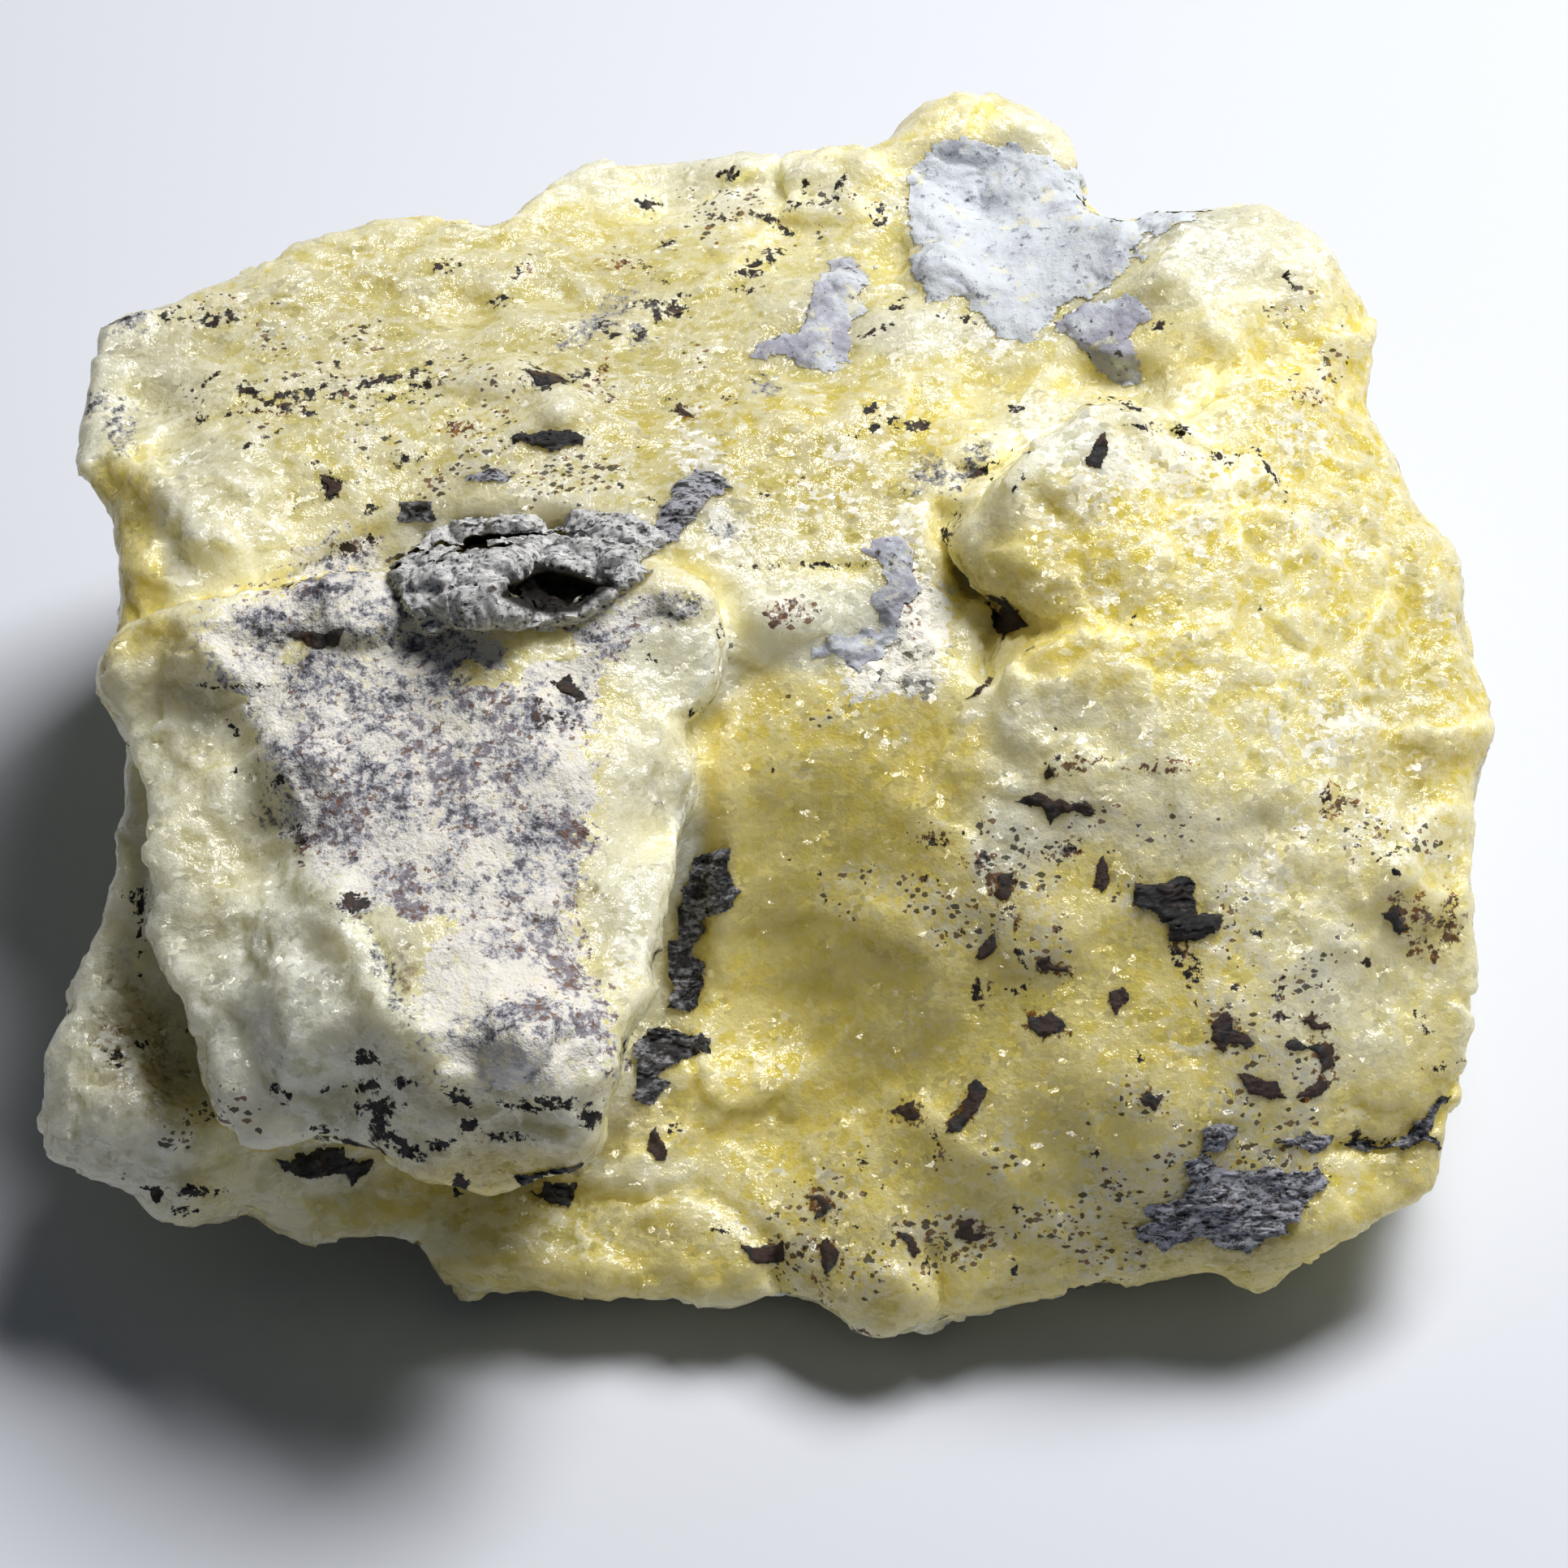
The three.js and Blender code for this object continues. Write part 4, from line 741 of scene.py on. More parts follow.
def in_millimetres(tree):
    """The place on a piece, in millimetres."""
    place = add_node(tree, "ShaderNodeTexCoord").outputs["Object"]
    return add_node(tree, "ShaderNodeVectorMath", {0: place, "Scale": 1 / MM}, operation="SCALE").outputs[0]


def attribute(tree, name):
    """The number that a mesh attribute holds."""
    return add_node(tree, "ShaderNodeAttribute", attribute_name=name).outputs["Fac"]


def noise(tree, vector, size, detail=3.0, roughness=0.55):
    """Noise from 0 to 1 with blotches of the given size in millimetres."""
    return add_node(
        tree,
        "ShaderNodeTexNoise",
        {"Vector": vector, "Scale": 1 / size, "Detail": detail, "Roughness": roughness},
    ).outputs["Fac"]


def sums(tree, operation, a, b):
    """One step of arithmetic on two numbers."""
    return add_node(tree, "ShaderNodeMath", {0: a, 1: b}, operation=operation).outputs[0]


def ramp(tree, value, low, high, from_value=0.0, to_value=1.0):
    """Takes low..high smoothly to from_value..to_value."""
    return add_node(
        tree,
        "ShaderNodeMapRange",
        {"Value": value, "From Min": low, "From Max": high, "To Min": from_value, "To Max": to_value},
        interpolation_type="SMOOTHSTEP",
    ).outputs["Result"]


def frayed(tree, value, by, swing):
    """A value that a noise shifts by up to the swing each way, so that what ends there ends raggedly."""
    return sums(tree, "ADD", value, ramp(tree, by, 0.3, 0.7, -swing, swing))


def tint(tree, amount, under, over):
    """The colour under, with the colour over on top by the amount."""
    return add_node(tree, "ShaderNodeMix", {"Factor": amount, 6: under, 7: over}, data_type="RGBA").outputs[2]


mm_place = in_millimetres(tree)
fine = noise(tree, mm_place, 0.4, 4, 0.65)
grains = noise(tree, mm_place, 0.55, 5, 0.75)
clump = sums(tree, "MULTIPLY", attribute(tree, "clump"), 0.07)
honey = frayed(tree, attribute(tree, "honey"), fine, 0.03)
colour = tint(tree, ramp(tree, honey, 0.0, 0.5), srgb("#E2E1CA"), srgb("#E3D78E"))
colour = tint(tree, ramp(tree, honey, 0.45, 1.05), colour, srgb("#DDCA5C"))
# Darker olive patches: partly the stone's deeper colour and partly painted shade.
colour = tint(tree, sums(tree, "MULTIPLY", attribute(tree, "deep_and_shaded"), 0.6), colour, srgb("#BCB174"))
tan = ramp(tree, frayed(tree, attribute(tree, "tan"), grains, 0.3), 0.1, 0.8, 0.0, 0.85)
tan_colour = tint(tree, ramp(tree, grains, 0.5, 0.6), srgb("#AD9F7C"), srgb("#5E4A35"))
colour = tint(tree, tan, colour, tan_colour)
# Painted shade: hollows in the stone's broad form are tinted a darker yellow.
groove = ramp(tree, attribute(tree, "hill"), -0.15, -0.8)
colour = tint(tree, sums(tree, "MULTIPLY", groove, 0.25), colour, srgb("#BFB164"))
# Ridges are tinted near white: partly the frosty rims of broken plates and partly painted highlight.
crest_frost_and_highlight = ramp(tree, frayed(tree, attribute(tree, "ridge"), fine, 0.04), 0.0, 0.06)
colour = tint(tree, sums(tree, "MULTIPLY", crest_frost_and_highlight, 0.4), colour, srgb("#F4F2E0"))

# Cleavage plates of two sizes, a little lighter or darker than each other, with hairline cracks across them.
SLAB_MM, CHIP_MM = 0.9, 0.32
longer = add_node(
    tree, "ShaderNodeVectorMath", {0: mm_place, 1: (0.8, 1.15, 1.15)}, operation="MULTIPLY"
).outputs[0]
slabs = add_node(
    tree, "ShaderNodeTexVoronoi", {"Vector": longer, "Scale": 1 / SLAB_MM}, distance="MANHATTAN"
)
lot = add_node(tree, "ShaderNodeSeparateColor", {"Color": slabs.outputs["Color"]}).outputs
chips = add_node(
    tree, "ShaderNodeTexVoronoi", {"Vector": longer, "Scale": 1 / CHIP_MM}, distance="MANHATTAN"
)
chip_lot = add_node(tree, "ShaderNodeSeparateColor", {"Color": chips.outputs["Color"]}).outputs
shade = sums(tree, "ADD", sums(tree, "MULTIPLY", lot[0], 0.6), sums(tree, "MULTIPLY", chip_lot[0], 0.3))
shade = sums(tree, "ADD", shade, ramp(tree, fine, 0.3, 0.7, 0.0, 0.1))
colour = tint(tree, ramp(tree, shade, 0.65, 1.0, 0.0, 0.22), colour, srgb("#F8F5E0"))
colour = tint(tree, ramp(tree, shade, 0.35, 0.0, 0.0, 0.22), colour, srgb("#BDB16C"))
outlined = frayed(tree, slabs.outputs["Distance"], fine, 0.1)
colour = tint(tree, ramp(tree, outlined, 0.6, 0.8, 0.0, 0.3), colour, srgb("#F8F5E0"))
# White frosting on the cleavage, with painted glints: some of its small patches, and a few scattered chips
# elsewhere, are painted white where the stone sparkles.
frost_and_glints = attribute(tree, "frost_and_glints")
frost_and_glint_level = sums(tree, "ADD", sums(tree, "MULTIPLY", lot[0], 0.2), sums(tree, "MULTIPLY", chip_lot[0], 0.4))
frost_and_glint_level = sums(tree, "ADD", frost_and_glint_level, sums(tree, "MULTIPLY", frost_and_glints, 0.6))
frost_and_glint_level = frayed(tree, frost_and_glint_level, fine, 0.12)
painted_glint_rarity = ramp(tree, clump, 0.0, 0.06, 0.995, 0.965)
frost_and_glint = sums(tree, "MAXIMUM", ramp(tree, frost_and_glint_level, 0.78, 0.88), sums(tree, "GREATER_THAN", chip_lot[1], painted_glint_rarity))
seam = sums(tree, "SUBTRACT", noise(tree, mm_place, 1.3, 2, 0.5), 0.5)
crack = ramp(tree, add_node(tree, "ShaderNodeMath", {0: seam}, operation="ABSOLUTE").outputs[0], 0.012, 0.002)
crack = sums(tree, "MULTIPLY", crack, ramp(tree, sums(tree, "ADD", frost_and_glints, clump), 0.0, 0.6, 0.25, 0.8))
white = sums(tree, "MAXIMUM", sums(tree, "MULTIPLY", frost_and_glint, 0.8), crack)
colour = tint(tree, white, colour, srgb("#FAF9EE"))

# Painted light and shade: the sides that turn away from the window are painted lighter, as light carried
# through the translucent stone would fill them, and those that face the window are painted darker.
painted_window_shade = ramp(tree, attribute(tree, "lit"), 0.6, 1.0, 0.0, 0.3)
colour = tint(tree, painted_window_shade, colour, srgb("#5A5218"))
painted_inner_glow = tint(tree, ramp(tree, honey, 0.35, 0.75), srgb("#F6F5E2"), srgb("#F0DC7C"))
colour = tint(tree, ramp(tree, attribute(tree, "lit"), 0.7, 0.3, 0.0, 0.6), colour, painted_inner_glow)

powder = ramp(tree, frayed(tree, attribute(tree, "powder_mm"), fine, 0.5), -0.1, 0.2)
powder = sums(tree, "MULTIPLY", powder, ramp(tree, grains, 0.35, 0.5, 0.6, 1.0))
colour = tint(tree, powder, colour, srgb("#F4F1E8"))
crust = ramp(tree, frayed(tree, attribute(tree, "crust_mm"), fine, 0.7), -0.15, 0.25)
crust = sums(tree, "MULTIPLY", crust, ramp(tree, sums(tree, "ADD", grains, clump), 0.36, 0.44, 0.55, 1.0))
colour = tint(tree, sums(tree, "MULTIPLY", crust, 0.9), colour, srgb("#E6E3E0"))
motes = sums(tree, "ADD", grains, sums(tree, "MULTIPLY", clump, 2.4))
brown_motes = ramp(tree, sums(tree, "ADD", fine, clump), 0.59, 0.65, 0.0, 0.85)
for motes_here, mote_colour in (
    (ramp(tree, motes, 0.52, 0.6, 0.0, 0.6), "#A3A5B4"),
    (ramp(tree, motes, 0.6, 0.66, 0.0, 0.8), "#6A6472"),
    (brown_motes, "#6B4A3A"),
):
    colour = tint(tree, sums(tree, "MULTIPLY", crust, motes_here), colour, srgb(mote_colour))

ragged = ramp(tree, fine, 0.25, 0.75, -0.45, 0.45)
grey = ramp(tree, sums(tree, "ADD", attribute(tree, "grey_mm"), ragged), 0.25, -0.2)
grey_fleck = sums(tree, "MULTIPLY", grey, ramp(tree, grains, 0.42, 0.56, 0.15, 0.95))
grey_colour = tint(tree, ramp(tree, grains, 0.5, 0.6), srgb("#8A8D9E"), srgb("#3E3B42"))
colour = tint(tree, grey_fleck, colour, grey_colour)
rust = ramp(tree, sums(tree, "ADD", attribute(tree, "rust_mm"), ragged), 0.1, -0.1)
rust_colour = tint(tree, ramp(tree, grains, 0.4, 0.56), srgb("#8A4A20"), srgb("#3E170B"))
colour = tint(tree, sums(tree, "MULTIPLY", rust, 0.9), colour, rust_colour)
less_ragged = sums(tree, "MULTIPLY", ragged, 0.55)
dark = ramp(tree, sums(tree, "ADD", attribute(tree, "dark_mm"), less_ragged), 0.05, -0.05)
dark_colour = tint(tree, ramp(tree, grains, 0.5, 0.6), srgb("#120E0D"), srgb("#3A2113"))
colour = tint(tree, dark, colour, dark_colour)

# Fine pepper: a dot in some of the cells of a pattern, and a thin pale film where the dots lie thick.
pepper = attribute(tree, "pepper")
film = sums(tree, "MULTIPLY", ramp(tree, pepper, 0.3, 0.9, 0.0, 0.6), ramp(tree, fine, 0.4, 0.6))
colour = tint(tree, film, colour, srgb("#E4E1D2"))
dot_size = sums(tree, "MULTIPLY", ramp(tree, sums(tree, "ADD", chip_lot[2], pepper), 1.05, 1.9), 0.85)
torn = sums(tree, "ADD", chips.outputs["Distance"], ramp(tree, grains, 0.3, 0.7, -0.25, 0.3))
dots = ramp(tree, sums(tree, "SUBTRACT", torn, dot_size), 0.03, -0.06)
dots = sums(tree, "MULTIPLY", dots, ramp(tree, dot_size, 0.05, 0.14))
dot_colour = tint(tree, ramp(tree, chip_lot[0], 0.6, 0.7), srgb("#241A16"), srgb("#6E4A2E"))
colour = tint(tree, sums(tree, "MULTIPLY", dots, 0.85), colour, dot_colour)

# Each little cleavage plate leans its own way, so some of them catch the light.
lean = add_node(
    tree, "ShaderNodeVectorMath", {0: chips.outputs["Color"], 1: (0.5, 0.5, 0.5)}, operation="SUBTRACT"
).outputs[0]
tilt = sums(tree, "ADD", 0.4, sums(tree, "MULTIPLY", sums(tree, "GREATER_THAN", lot[1], 0.75), 0.9))
tilt = sums(tree, "ADD", tilt, sums(tree, "MULTIPLY", frost_and_glints, 0.6))
tilt = sums(tree, "MULTIPLY", tilt, ramp(tree, crust, 0.0, 1.0, 1.0, 0.3))
lean = add_node(tree, "ShaderNodeVectorMath", {0: lean, "Scale": tilt}, operation="SCALE").outputs[0]
GRAIN_DEPTH = 0.12 * MM
sandy = noise(tree, mm_place, 0.3, 2, 0.7)
grain = add_node(
    tree, "ShaderNodeBump", {"Strength": 0.9, "Distance": GRAIN_DEPTH, "Height": sandy}
).outputs["Normal"]
leaning = add_node(tree, "ShaderNodeVectorMath", {0: grain, 1: lean}, operation="ADD").outputs[0]
leaning = add_node(tree, "ShaderNodeVectorMath", {0: leaning}, operation="NORMALIZE").outputs[0]

dull = sums(tree, "MAXIMUM", sums(tree, "MAXIMUM", crust, powder), sums(tree, "MAXIMUM", dark, grey_fleck))
body = add_node(
    tree,
    "ShaderNodeBsdfPrincipled",
    {
        "Base Color": colour,
        "Roughness": ramp(tree, dull, 0.0, 1.0, 0.18, 0.75),
        "IOR": 1.57,
        "Subsurface Weight": ramp(tree, dull, 0.0, 1.0, 0.65, 0.0),
        "Subsurface Radius": (1.0, 0.85, 0.4),
        "Subsurface Scale": 3.2 * MM,
        "Normal": leaning,
    },
    subsurface_method="BURLEY",
)
# Light that has left the stone once needs only its mean colour, which keeps the render quick.
plain = add_node(tree, "ShaderNodeBsdfDiffuse", {"Color": srgb("#DAD3A0")}).outputs["BSDF"]
seen_first = add_node(tree, "ShaderNodeLightPath").outputs["Is Camera Ray"]
both = add_node(tree, "ShaderNodeMixShader", {0: seen_first, 1: plain, 2: body.outputs["BSDF"]}).outputs[0]
tree.links.new(both, output.inputs["Surface"])
brucite.data.materials.append(wax)
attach(brucite, "root")
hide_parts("brucite")

# Dark matrix
# Thin scales of dark serpentine, laid down in the brucite as it grew and bared when it broke. They are
# layered like wood and lie flush with the skin around them. Their cleaved tops shine, with a painted sheen on
# some.


def skin(name, outline, cuts, ragged, seed):
    """A patch of the fine skin inside an outline, with a ragged edge, and its corners' depth inside it."""
    margin = 0.8
    low_u, low_v = np.min(outline, axis=0) - margin
    high_u, high_v = np.max(outline, axis=0) + margin
    close = fine_shown & (fine_u > low_u) & (fine_u < high_u) & (fine_v > low_v) & (fine_v < high_v)
    chosen = fine_quads[close[fine_quads].all(axis=1)]
    used, quads = np.unique(chosen, return_inverse=True)
    mesh = bpy.data.meshes.new(name)
    mesh.from_pydata((fine_points[used] * MM).tolist(), [], quads.reshape(-1, 4).tolist())
    piece = bpy.data.objects.new(name, mesh)
    bpy.context.collection.objects.link(piece)
    only(piece)
    bpy.ops.object.mode_set(mode="EDIT")
    bpy.ops.mesh.select_all(action="SELECT")
    bpy.ops.mesh.subdivide(number_cuts=cuts)
    bpy.ops.mesh.vertices_smooth(factor=0.5, repeat=2 * cuts)
    bpy.ops.object.mode_set(mode="OBJECT")

    def depth_inside():
        """How deep each corner lies inside the outline and its ragged edge."""
        points = corners(piece.data)
        return within(*wandered(points, *seen_at(points), ragged, 0.9, seed, 4), outline)

    outside = depth_inside() < 0
    piece.data.polygons.foreach_set("select", np.zeros(len(piece.data.polygons), dtype=bool))
    piece.data.edges.foreach_set("select", np.zeros(len(piece.data.edges), dtype=bool))
    piece.data.vertices.foreach_set("select", outside)
    bpy.ops.object.mode_set(mode="EDIT")
    bpy.ops.mesh.delete(type="VERT")
    bpy.ops.object.mode_set(mode="OBJECT")
    return piece, depth_inside()


def raise_skin(piece, height, thickness, crisp=50):
    """Lifts a patch of skin by a height at each corner, and gives it a body that goes down into the stone."""
    points = corners(piece.data)
    points += (outward(piece.data) + OUT) * 0.5 * height[:, None]
    move_corners(piece.data, points)
    only(piece)
    bpy.ops.object.mode_set(mode="EDIT")
    bpy.ops.mesh.select_all(action="SELECT")
    bpy.ops.mesh.extrude_region_move(TRANSFORM_OT_translate={"value": -FACE_OUT * thickness * MM})
    bpy.ops.mesh.select_all(action="SELECT")
    bpy.ops.mesh.normals_make_consistent(inside=False)
    bpy.ops.object.mode_set(mode="OBJECT")
    bpy.ops.object.shade_smooth_by_angle(angle=math.radians(crisp))


# Outlines of (u, v) on the face, in millimetres, for the scales that stand for CAD nodes.
SCALES = {
    "hollow_scale_upper": [
        (-4.1, -3.2), (-2.5, -3), (-2.5, -4), (-2.3, -4.7), (-1.9, -5.1), (-2.8, -5.8), (-3.5, -6.1),
        (-3.7, -7), (-4.3, -7.6), (-4.2, -7.9), (-3.7, -8), (-3.8, -9.2), (-3.8, -10), (-4.5, -10.5),
        (-5.3, -10.1), (-5.3, -9.2), (-6, -8.3), (-6, -7.8), (-5.2, -6.6), (-4.6, -5),
    ],
    "hollow_scale_lower": [
        (-6.4, -11), (-5.2, -11.2), (-4.2, -11.3), (-3.5, -11.5), (-3.4, -12.4), (-4.2, -12.5),
        (-5.2, -12.8), (-5.8, -13.2), (-5.2, -13.5), (-5.6, -14.1), (-6, -14.8), (-6.8, -14.6),
        (-7.4, -13.8), (-7.4, -12.6), (-7.2, -11.4),
    ],
    "apron_scale": [
        (15.9, -4.4), (16.9, -4.5), (17.4, -4.3), (17.8, -4.1), (18.5, -4), (18.9, -4.6), (18.8, -5.2),
        (19.1, -5.9), (19.9, -5.7), (20, -6.3), (19.5, -6.9), (19.2, -7.3), (18.3, -7.3), (17.6, -7.1),
        (17.4, -6.4), (17, -5.9), (16.2, -5.7), (15.9, -5.2),
    ],
    "front_scale": [
        (18.2, -17), (19.2, -16.9), (19.9, -17.5), (21.4, -17.4), (22, -17.3), (23, -17.6), (24.2, -17.5),
        (25, -17.9), (24.6, -18.6), (24, -19), (23.6, -19.8), (22.8, -20), (23.2, -20.6), (22, -20.7),
        (21.4, -21.3), (20.4, -21), (19.2, -20.7), (18.2, -21), (17.4, -21.3), (16.9, -20.8), (16.4, -21),
        (16, -20.3), (16.8, -19.9), (16.4, -19.4), (17, -19), (18, -19), (18.6, -18.4), (18.3, -17.8),
    ],
    "front_scale_left": [
        (18.8, -15.9), (19.3, -15.7), (19.9, -15.4), (20.5, -15.5), (20.4, -16.2), (20.1, -16.7),
        (19.5, -17), (19.1, -16.6),
    ],
    "front_scale_right": [
        (22.3, -16), (23.4, -16.1), (24.2, -15.8), (24.9, -16), (24.6, -16.6), (23.8, -16.8), (22.9, -16.5),
    ],
    "edge_seam": [
        (25, -16.3), (26.2, -16.1), (27.4, -16.2), (28.2, -16), (28.3, -15.2), (29.2, -15.2), (29.9, -14.6),
        (30.7, -13.9), (30.4, -14.6), (29.8, -15.2), (29.6, -15.8), (30, -16.6), (29.3, -16.4),
        (28.2, -16.5), (26.6, -16.6),
    ],
    "matrix_blade": [
        (-5.8, 11.2), (-5.5, 12.6), (-4.8, 13.8), (-4, 14.2), (-2.8, 14), (-2.4, 13.6), (-3.3, 13.1),
        (-3.9, 12.4), (-4.4, 11.6), (-4.8, 10.9), (-5.4, 10.8),
    ],
    "terrace_scale_upper": [
        (-12.2, 15.7), (-11.9, 16), (-10, 16.1), (-9.2, 15.9), (-9.2, 15.3), (-9.8, 15.1), (-11.4, 15.2),
        (-12.1, 15.4),
    ],
    "terrace_scale_lower": [
        (-17.8, 12.9), (-16.9, 13), (-15.9, 13), (-15.8, 12.2), (-16.2, 11.9), (-17.6, 11.8), (-17.8, 12.3),
    ],
    "terrace_scale_middle": [
        (-14.9, 14.2), (-13.8, 14.4), (-13, 14.4), (-12.6, 14), (-12.6, 13.7), (-13.6, 13.8), (-14.6, 13.8),
    ],
    "nose_scale": [
        (-12.4, -17.8), (-11, -17.5), (-9.1, -17.3), (-9.3, -18), (-9.9, -19.2), (-10.6, -19),
        (-11.6, -18.6),
    ],
    "ledge_scale": [
        (-23.4, -17.1), (-22, -16.9), (-20.6, -16.3), (-19, -16.2), (-18.2, -16.9), (-18.9, -17.4),
        (-19.6, -18.4), (-20.2, -17.8), (-21.6, -18), (-23, -17.7),
    ],
}
# Flakes too small for a node of their own, in the same outlines.
FLAKES = [
    [(10.4, -0.8), (11.5, -0.4), (12.2, -0.7), (13.8, -0.9), (14.2, -1.1), (13.9, -1.5), (13.5, -1.7),
     (13.1, -1.3), (12.5, -1.2), (12.1, -1.8), (11.7, -1.3), (11.2, -0.9)],
    [(14.6, -3.1), (14.9, -3.7), (15, -4.5), (14.6, -4.9), (14, -4.6), (14.2, -3.8)],
    [(9.5, -4.1), (10.5, -3.8), (10.4, -4.6), (10.3, -5.1), (9.6, -5.2), (9.4, -4.9), (9.7, -4.6)],
    [(9, -7.1), (9.6, -6.9), (9.8, -7.6), (9.5, -7.9), (8.8, -8.2), (8.6, -7.9), (8.8, -7.5)],
    [(11.6, -8.1), (12.2, -7.7), (12.5, -8.2), (13.1, -8.2), (13, -8.7), (12.4, -8.6), (11.8, -8.5)],
    [(14.9, -9.4), (15.5, -9.1), (15.9, -9.7), (15.7, -10.3), (15.3, -10.7), (14.9, -10)],
    [(11.1, -10.6), (12, -10.2), (12.7, -10.9), (12.4, -11.4), (11.7, -11.6), (11.2, -11.2)],
    [(9, -13.4), (9.3, -14), (8.9, -14.9), (8.3, -15.6), (7.9, -16.1), (7.4, -15.8), (7.5, -15.2),
     (8.2, -14.7), (8.5, -13.8)],
    [(16.2, -14.1), (16.7, -13.9), (17, -14.3), (17.5, -14.1), (17.2, -14.6), (17, -15.1), (16.6, -14.8)],
    [(19.5, -10.8), (20.1, -10.4), (20.5, -11.2), (21.6, -11.7), (21.2, -12.1), (20.5, -12), (20.1, -12.2),
     (19.6, -11.8)],
    [(23.6, -10.9), (24.1, -10.4), (24.5, -10.8), (25, -10.9), (25, -11.3), (24.3, -11.2)],
    [(22.8, -11.9), (23.2, -11.5), (24, -12), (25.1, -11.8), (25.1, -13), (24.6, -13), (24.4, -12.3),
     (23.4, -12.3)],
    [(20.8, -13.3), (21.7, -13.2), (22.6, -13.7), (23, -14.3), (22.2, -14.3), (21.5, -14), (21, -13.6)],
    [(23.2, -14.5), (23.8, -13.8), (24.3, -13.3), (24.8, -13.7), (24.2, -14.3)],
    [(-6.3, -16.1), (-5.7, -15.6), (-5.4, -16.3), (-5.5, -17.1), (-6, -17.4), (-6.4, -16.8)],
    [(-2, -20.8), (-1.3, -21), (-0.2, -20.8), (0, -21.4), (-0.5, -21.8), (-1.3, -21.8), (-1.7, -21.3)],
    [(1.5, -20.7), (2, -20.5), (2.4, -21.2), (2.3, -21.9), (2, -22.5), (1.7, -21.6)],
    [(0.8, -18.7), (1.6, -18.7), (2.4, -19.4), (1.8, -19.8), (1.2, -20), (1.6, -19.3)],
    [(7.7, -20.6), (8, -19.9), (8.5, -19.9), (8.9, -20.5), (9.6, -20.6), (9, -20.9), (8.3, -20.7)],
    [(5.1, -20.2), (5.7, -20.4), (6.3, -21.2), (6.1, -21.7), (5.5, -21.4)],
    [(4.9, -14.9), (5.4, -14.8), (5.9, -14.4), (6.1, -15.2), (5.5, -15.5)],
    [(11.7, 0.2), (12.1, 0.9), (12.3, 0.4), (11.9, 0)],
    [(27.5, -5.9), (28, -5.4), (28.3, -6), (28.5, -6.6), (28.2, -7), (27.9, -6.5)],
    [(13.8, 14.8), (14.2, 15.8), (14.6, 16.1), (14.9, 15.3), (14.5, 14.5), (14, 14.4)],
    [(9.2, 8.5), (10, 8.5), (10.4, 7.9), (11.4, 7.2), (10.6, 7.1), (9.8, 6.6), (9.6, 7.5)],
    [(9.5, 5.1), (9.3, 4.4), (8.8, 3.9), (8.2, 3.8), (8.6, 4.4)],
    [(-21.1, 14.2), (-20.6, 14), (-20, 13.6), (-20.2, 13.1), (-21, 12.9), (-20.7, 13.5)],
    [(8.1, 13.8), (9, 14.4), (10.2, 15.1), (10.9, 15.3), (10.2, 14.5), (9.4, 14.1), (8.6, 13.8)],
    [(-10.5, 4.6), (-9.8, 4.9), (-9, 3.9), (-9.4, 3.6), (-9.8, 4.2)],
    [(-22.6, 7), (-21, 7.1), (-19.9, 7), (-20.4, 6.2), (-21.8, 6.2)],
    [(-5.1, 17.5), (-4.6, 17.4), (-4, 16.8), (-4.3, 16.7), (-4.9, 17)],
    [(-11.5, 18.8), (-10.9, 18.8), (-9.8, 18.5), (-10.8, 18), (-11.2, 17.9)],
]

# Cleaved dark serpentine: nearly black between its layers and dark grey on them, with a greasy gloss and a
# painted silvery sheen on them.
slate, tree, output = new_material("cleaved dark serpentine")
mm_place = in_millimetres(tree)
strands = add_node(
    tree, "ShaderNodeVectorMath", {0: mm_place, 1: (0.7, 1.4, 1.4)}, operation="MULTIPLY"
).outputs[0]
layers = noise(tree, strands, 0.4, 6, 0.8)
patches = noise(tree, mm_place, 0.9, 4, 0.65)
# Painted sheen: a silvery grey laid on the layers of a scale's top, where it would catch the light.
lit = ramp(tree, frayed(tree, attribute(tree, "sheen_paint"), patches, 0.4), 0.2, 0.9)
colour = tint(tree, ramp(tree, layers, 0.46, 0.64), srgb("#0B090A"), srgb("#434147"))
colour = tint(tree, ramp(tree, patches, 0.54, 0.64), colour, srgb("#3A281C"))
colour = tint(tree, sums(tree, "MULTIPLY", lit, ramp(tree, layers, 0.42, 0.56)), colour, srgb("#B3B5C0"))
colour = tint(tree, sums(tree, "MULTIPLY", attribute(tree, "brown"), 0.8), colour, srgb("#3B1E10"))
grain = add_node(
    tree, "ShaderNodeBump", {"Strength": 1.0, "Distance": GRAIN_DEPTH, "Height": layers}
).outputs["Normal"]
body = add_node(tree, "ShaderNodeBsdfPrincipled", {"Base Color": colour, "Roughness": 0.38, "Normal": grain})
tree.links.new(body.outputs["BSDF"], output.inputs["Surface"])

# How much painted silvery sheen a scale's top carries. The others are dark all over.
SHEEN_PAINT = {
    "matrix_blade": 1.2, "front_scale": 1.5, "front_scale_left": 1.2, "front_scale_right": 0.9,
    "hollow_scale_upper": 0.5, "hollow_scale_lower": 0.45, "terrace_scale_middle": 1.3,
    "terrace_scale_lower": 0.5, "edge_seam": 0.5,
}
for count, (node_name, outline) in enumerate(SCALES.items()):
    piece, depth = skin(node_name + "_leaf", outline, 2, 0.22, 300 + 40 * count)
    points = corners(piece.data)
    leaves = blotch(points * [0.6, 1.4, 1.4], 1.1, 500 + count, 3)
    height = 0.1 + 0.1 * np.clip(depth / 0.3, 0, 1) + 0.09 * np.round(leaves * 2)
    height += 0.05 * blotch(points * [0.6, 1.6, 1.6], 0.35, 700 + count, 2)
    raise_skin(piece, np.maximum(height, 0.04), 0.6)
    set_attribute(piece.data, "sheen_paint", SHEEN_PAINT.get(node_name, 0.0))
    set_attribute(piece.data, "brown", 0.0)
    piece.data.materials.append(slate)
    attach(piece, "root")
    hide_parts(node_name)

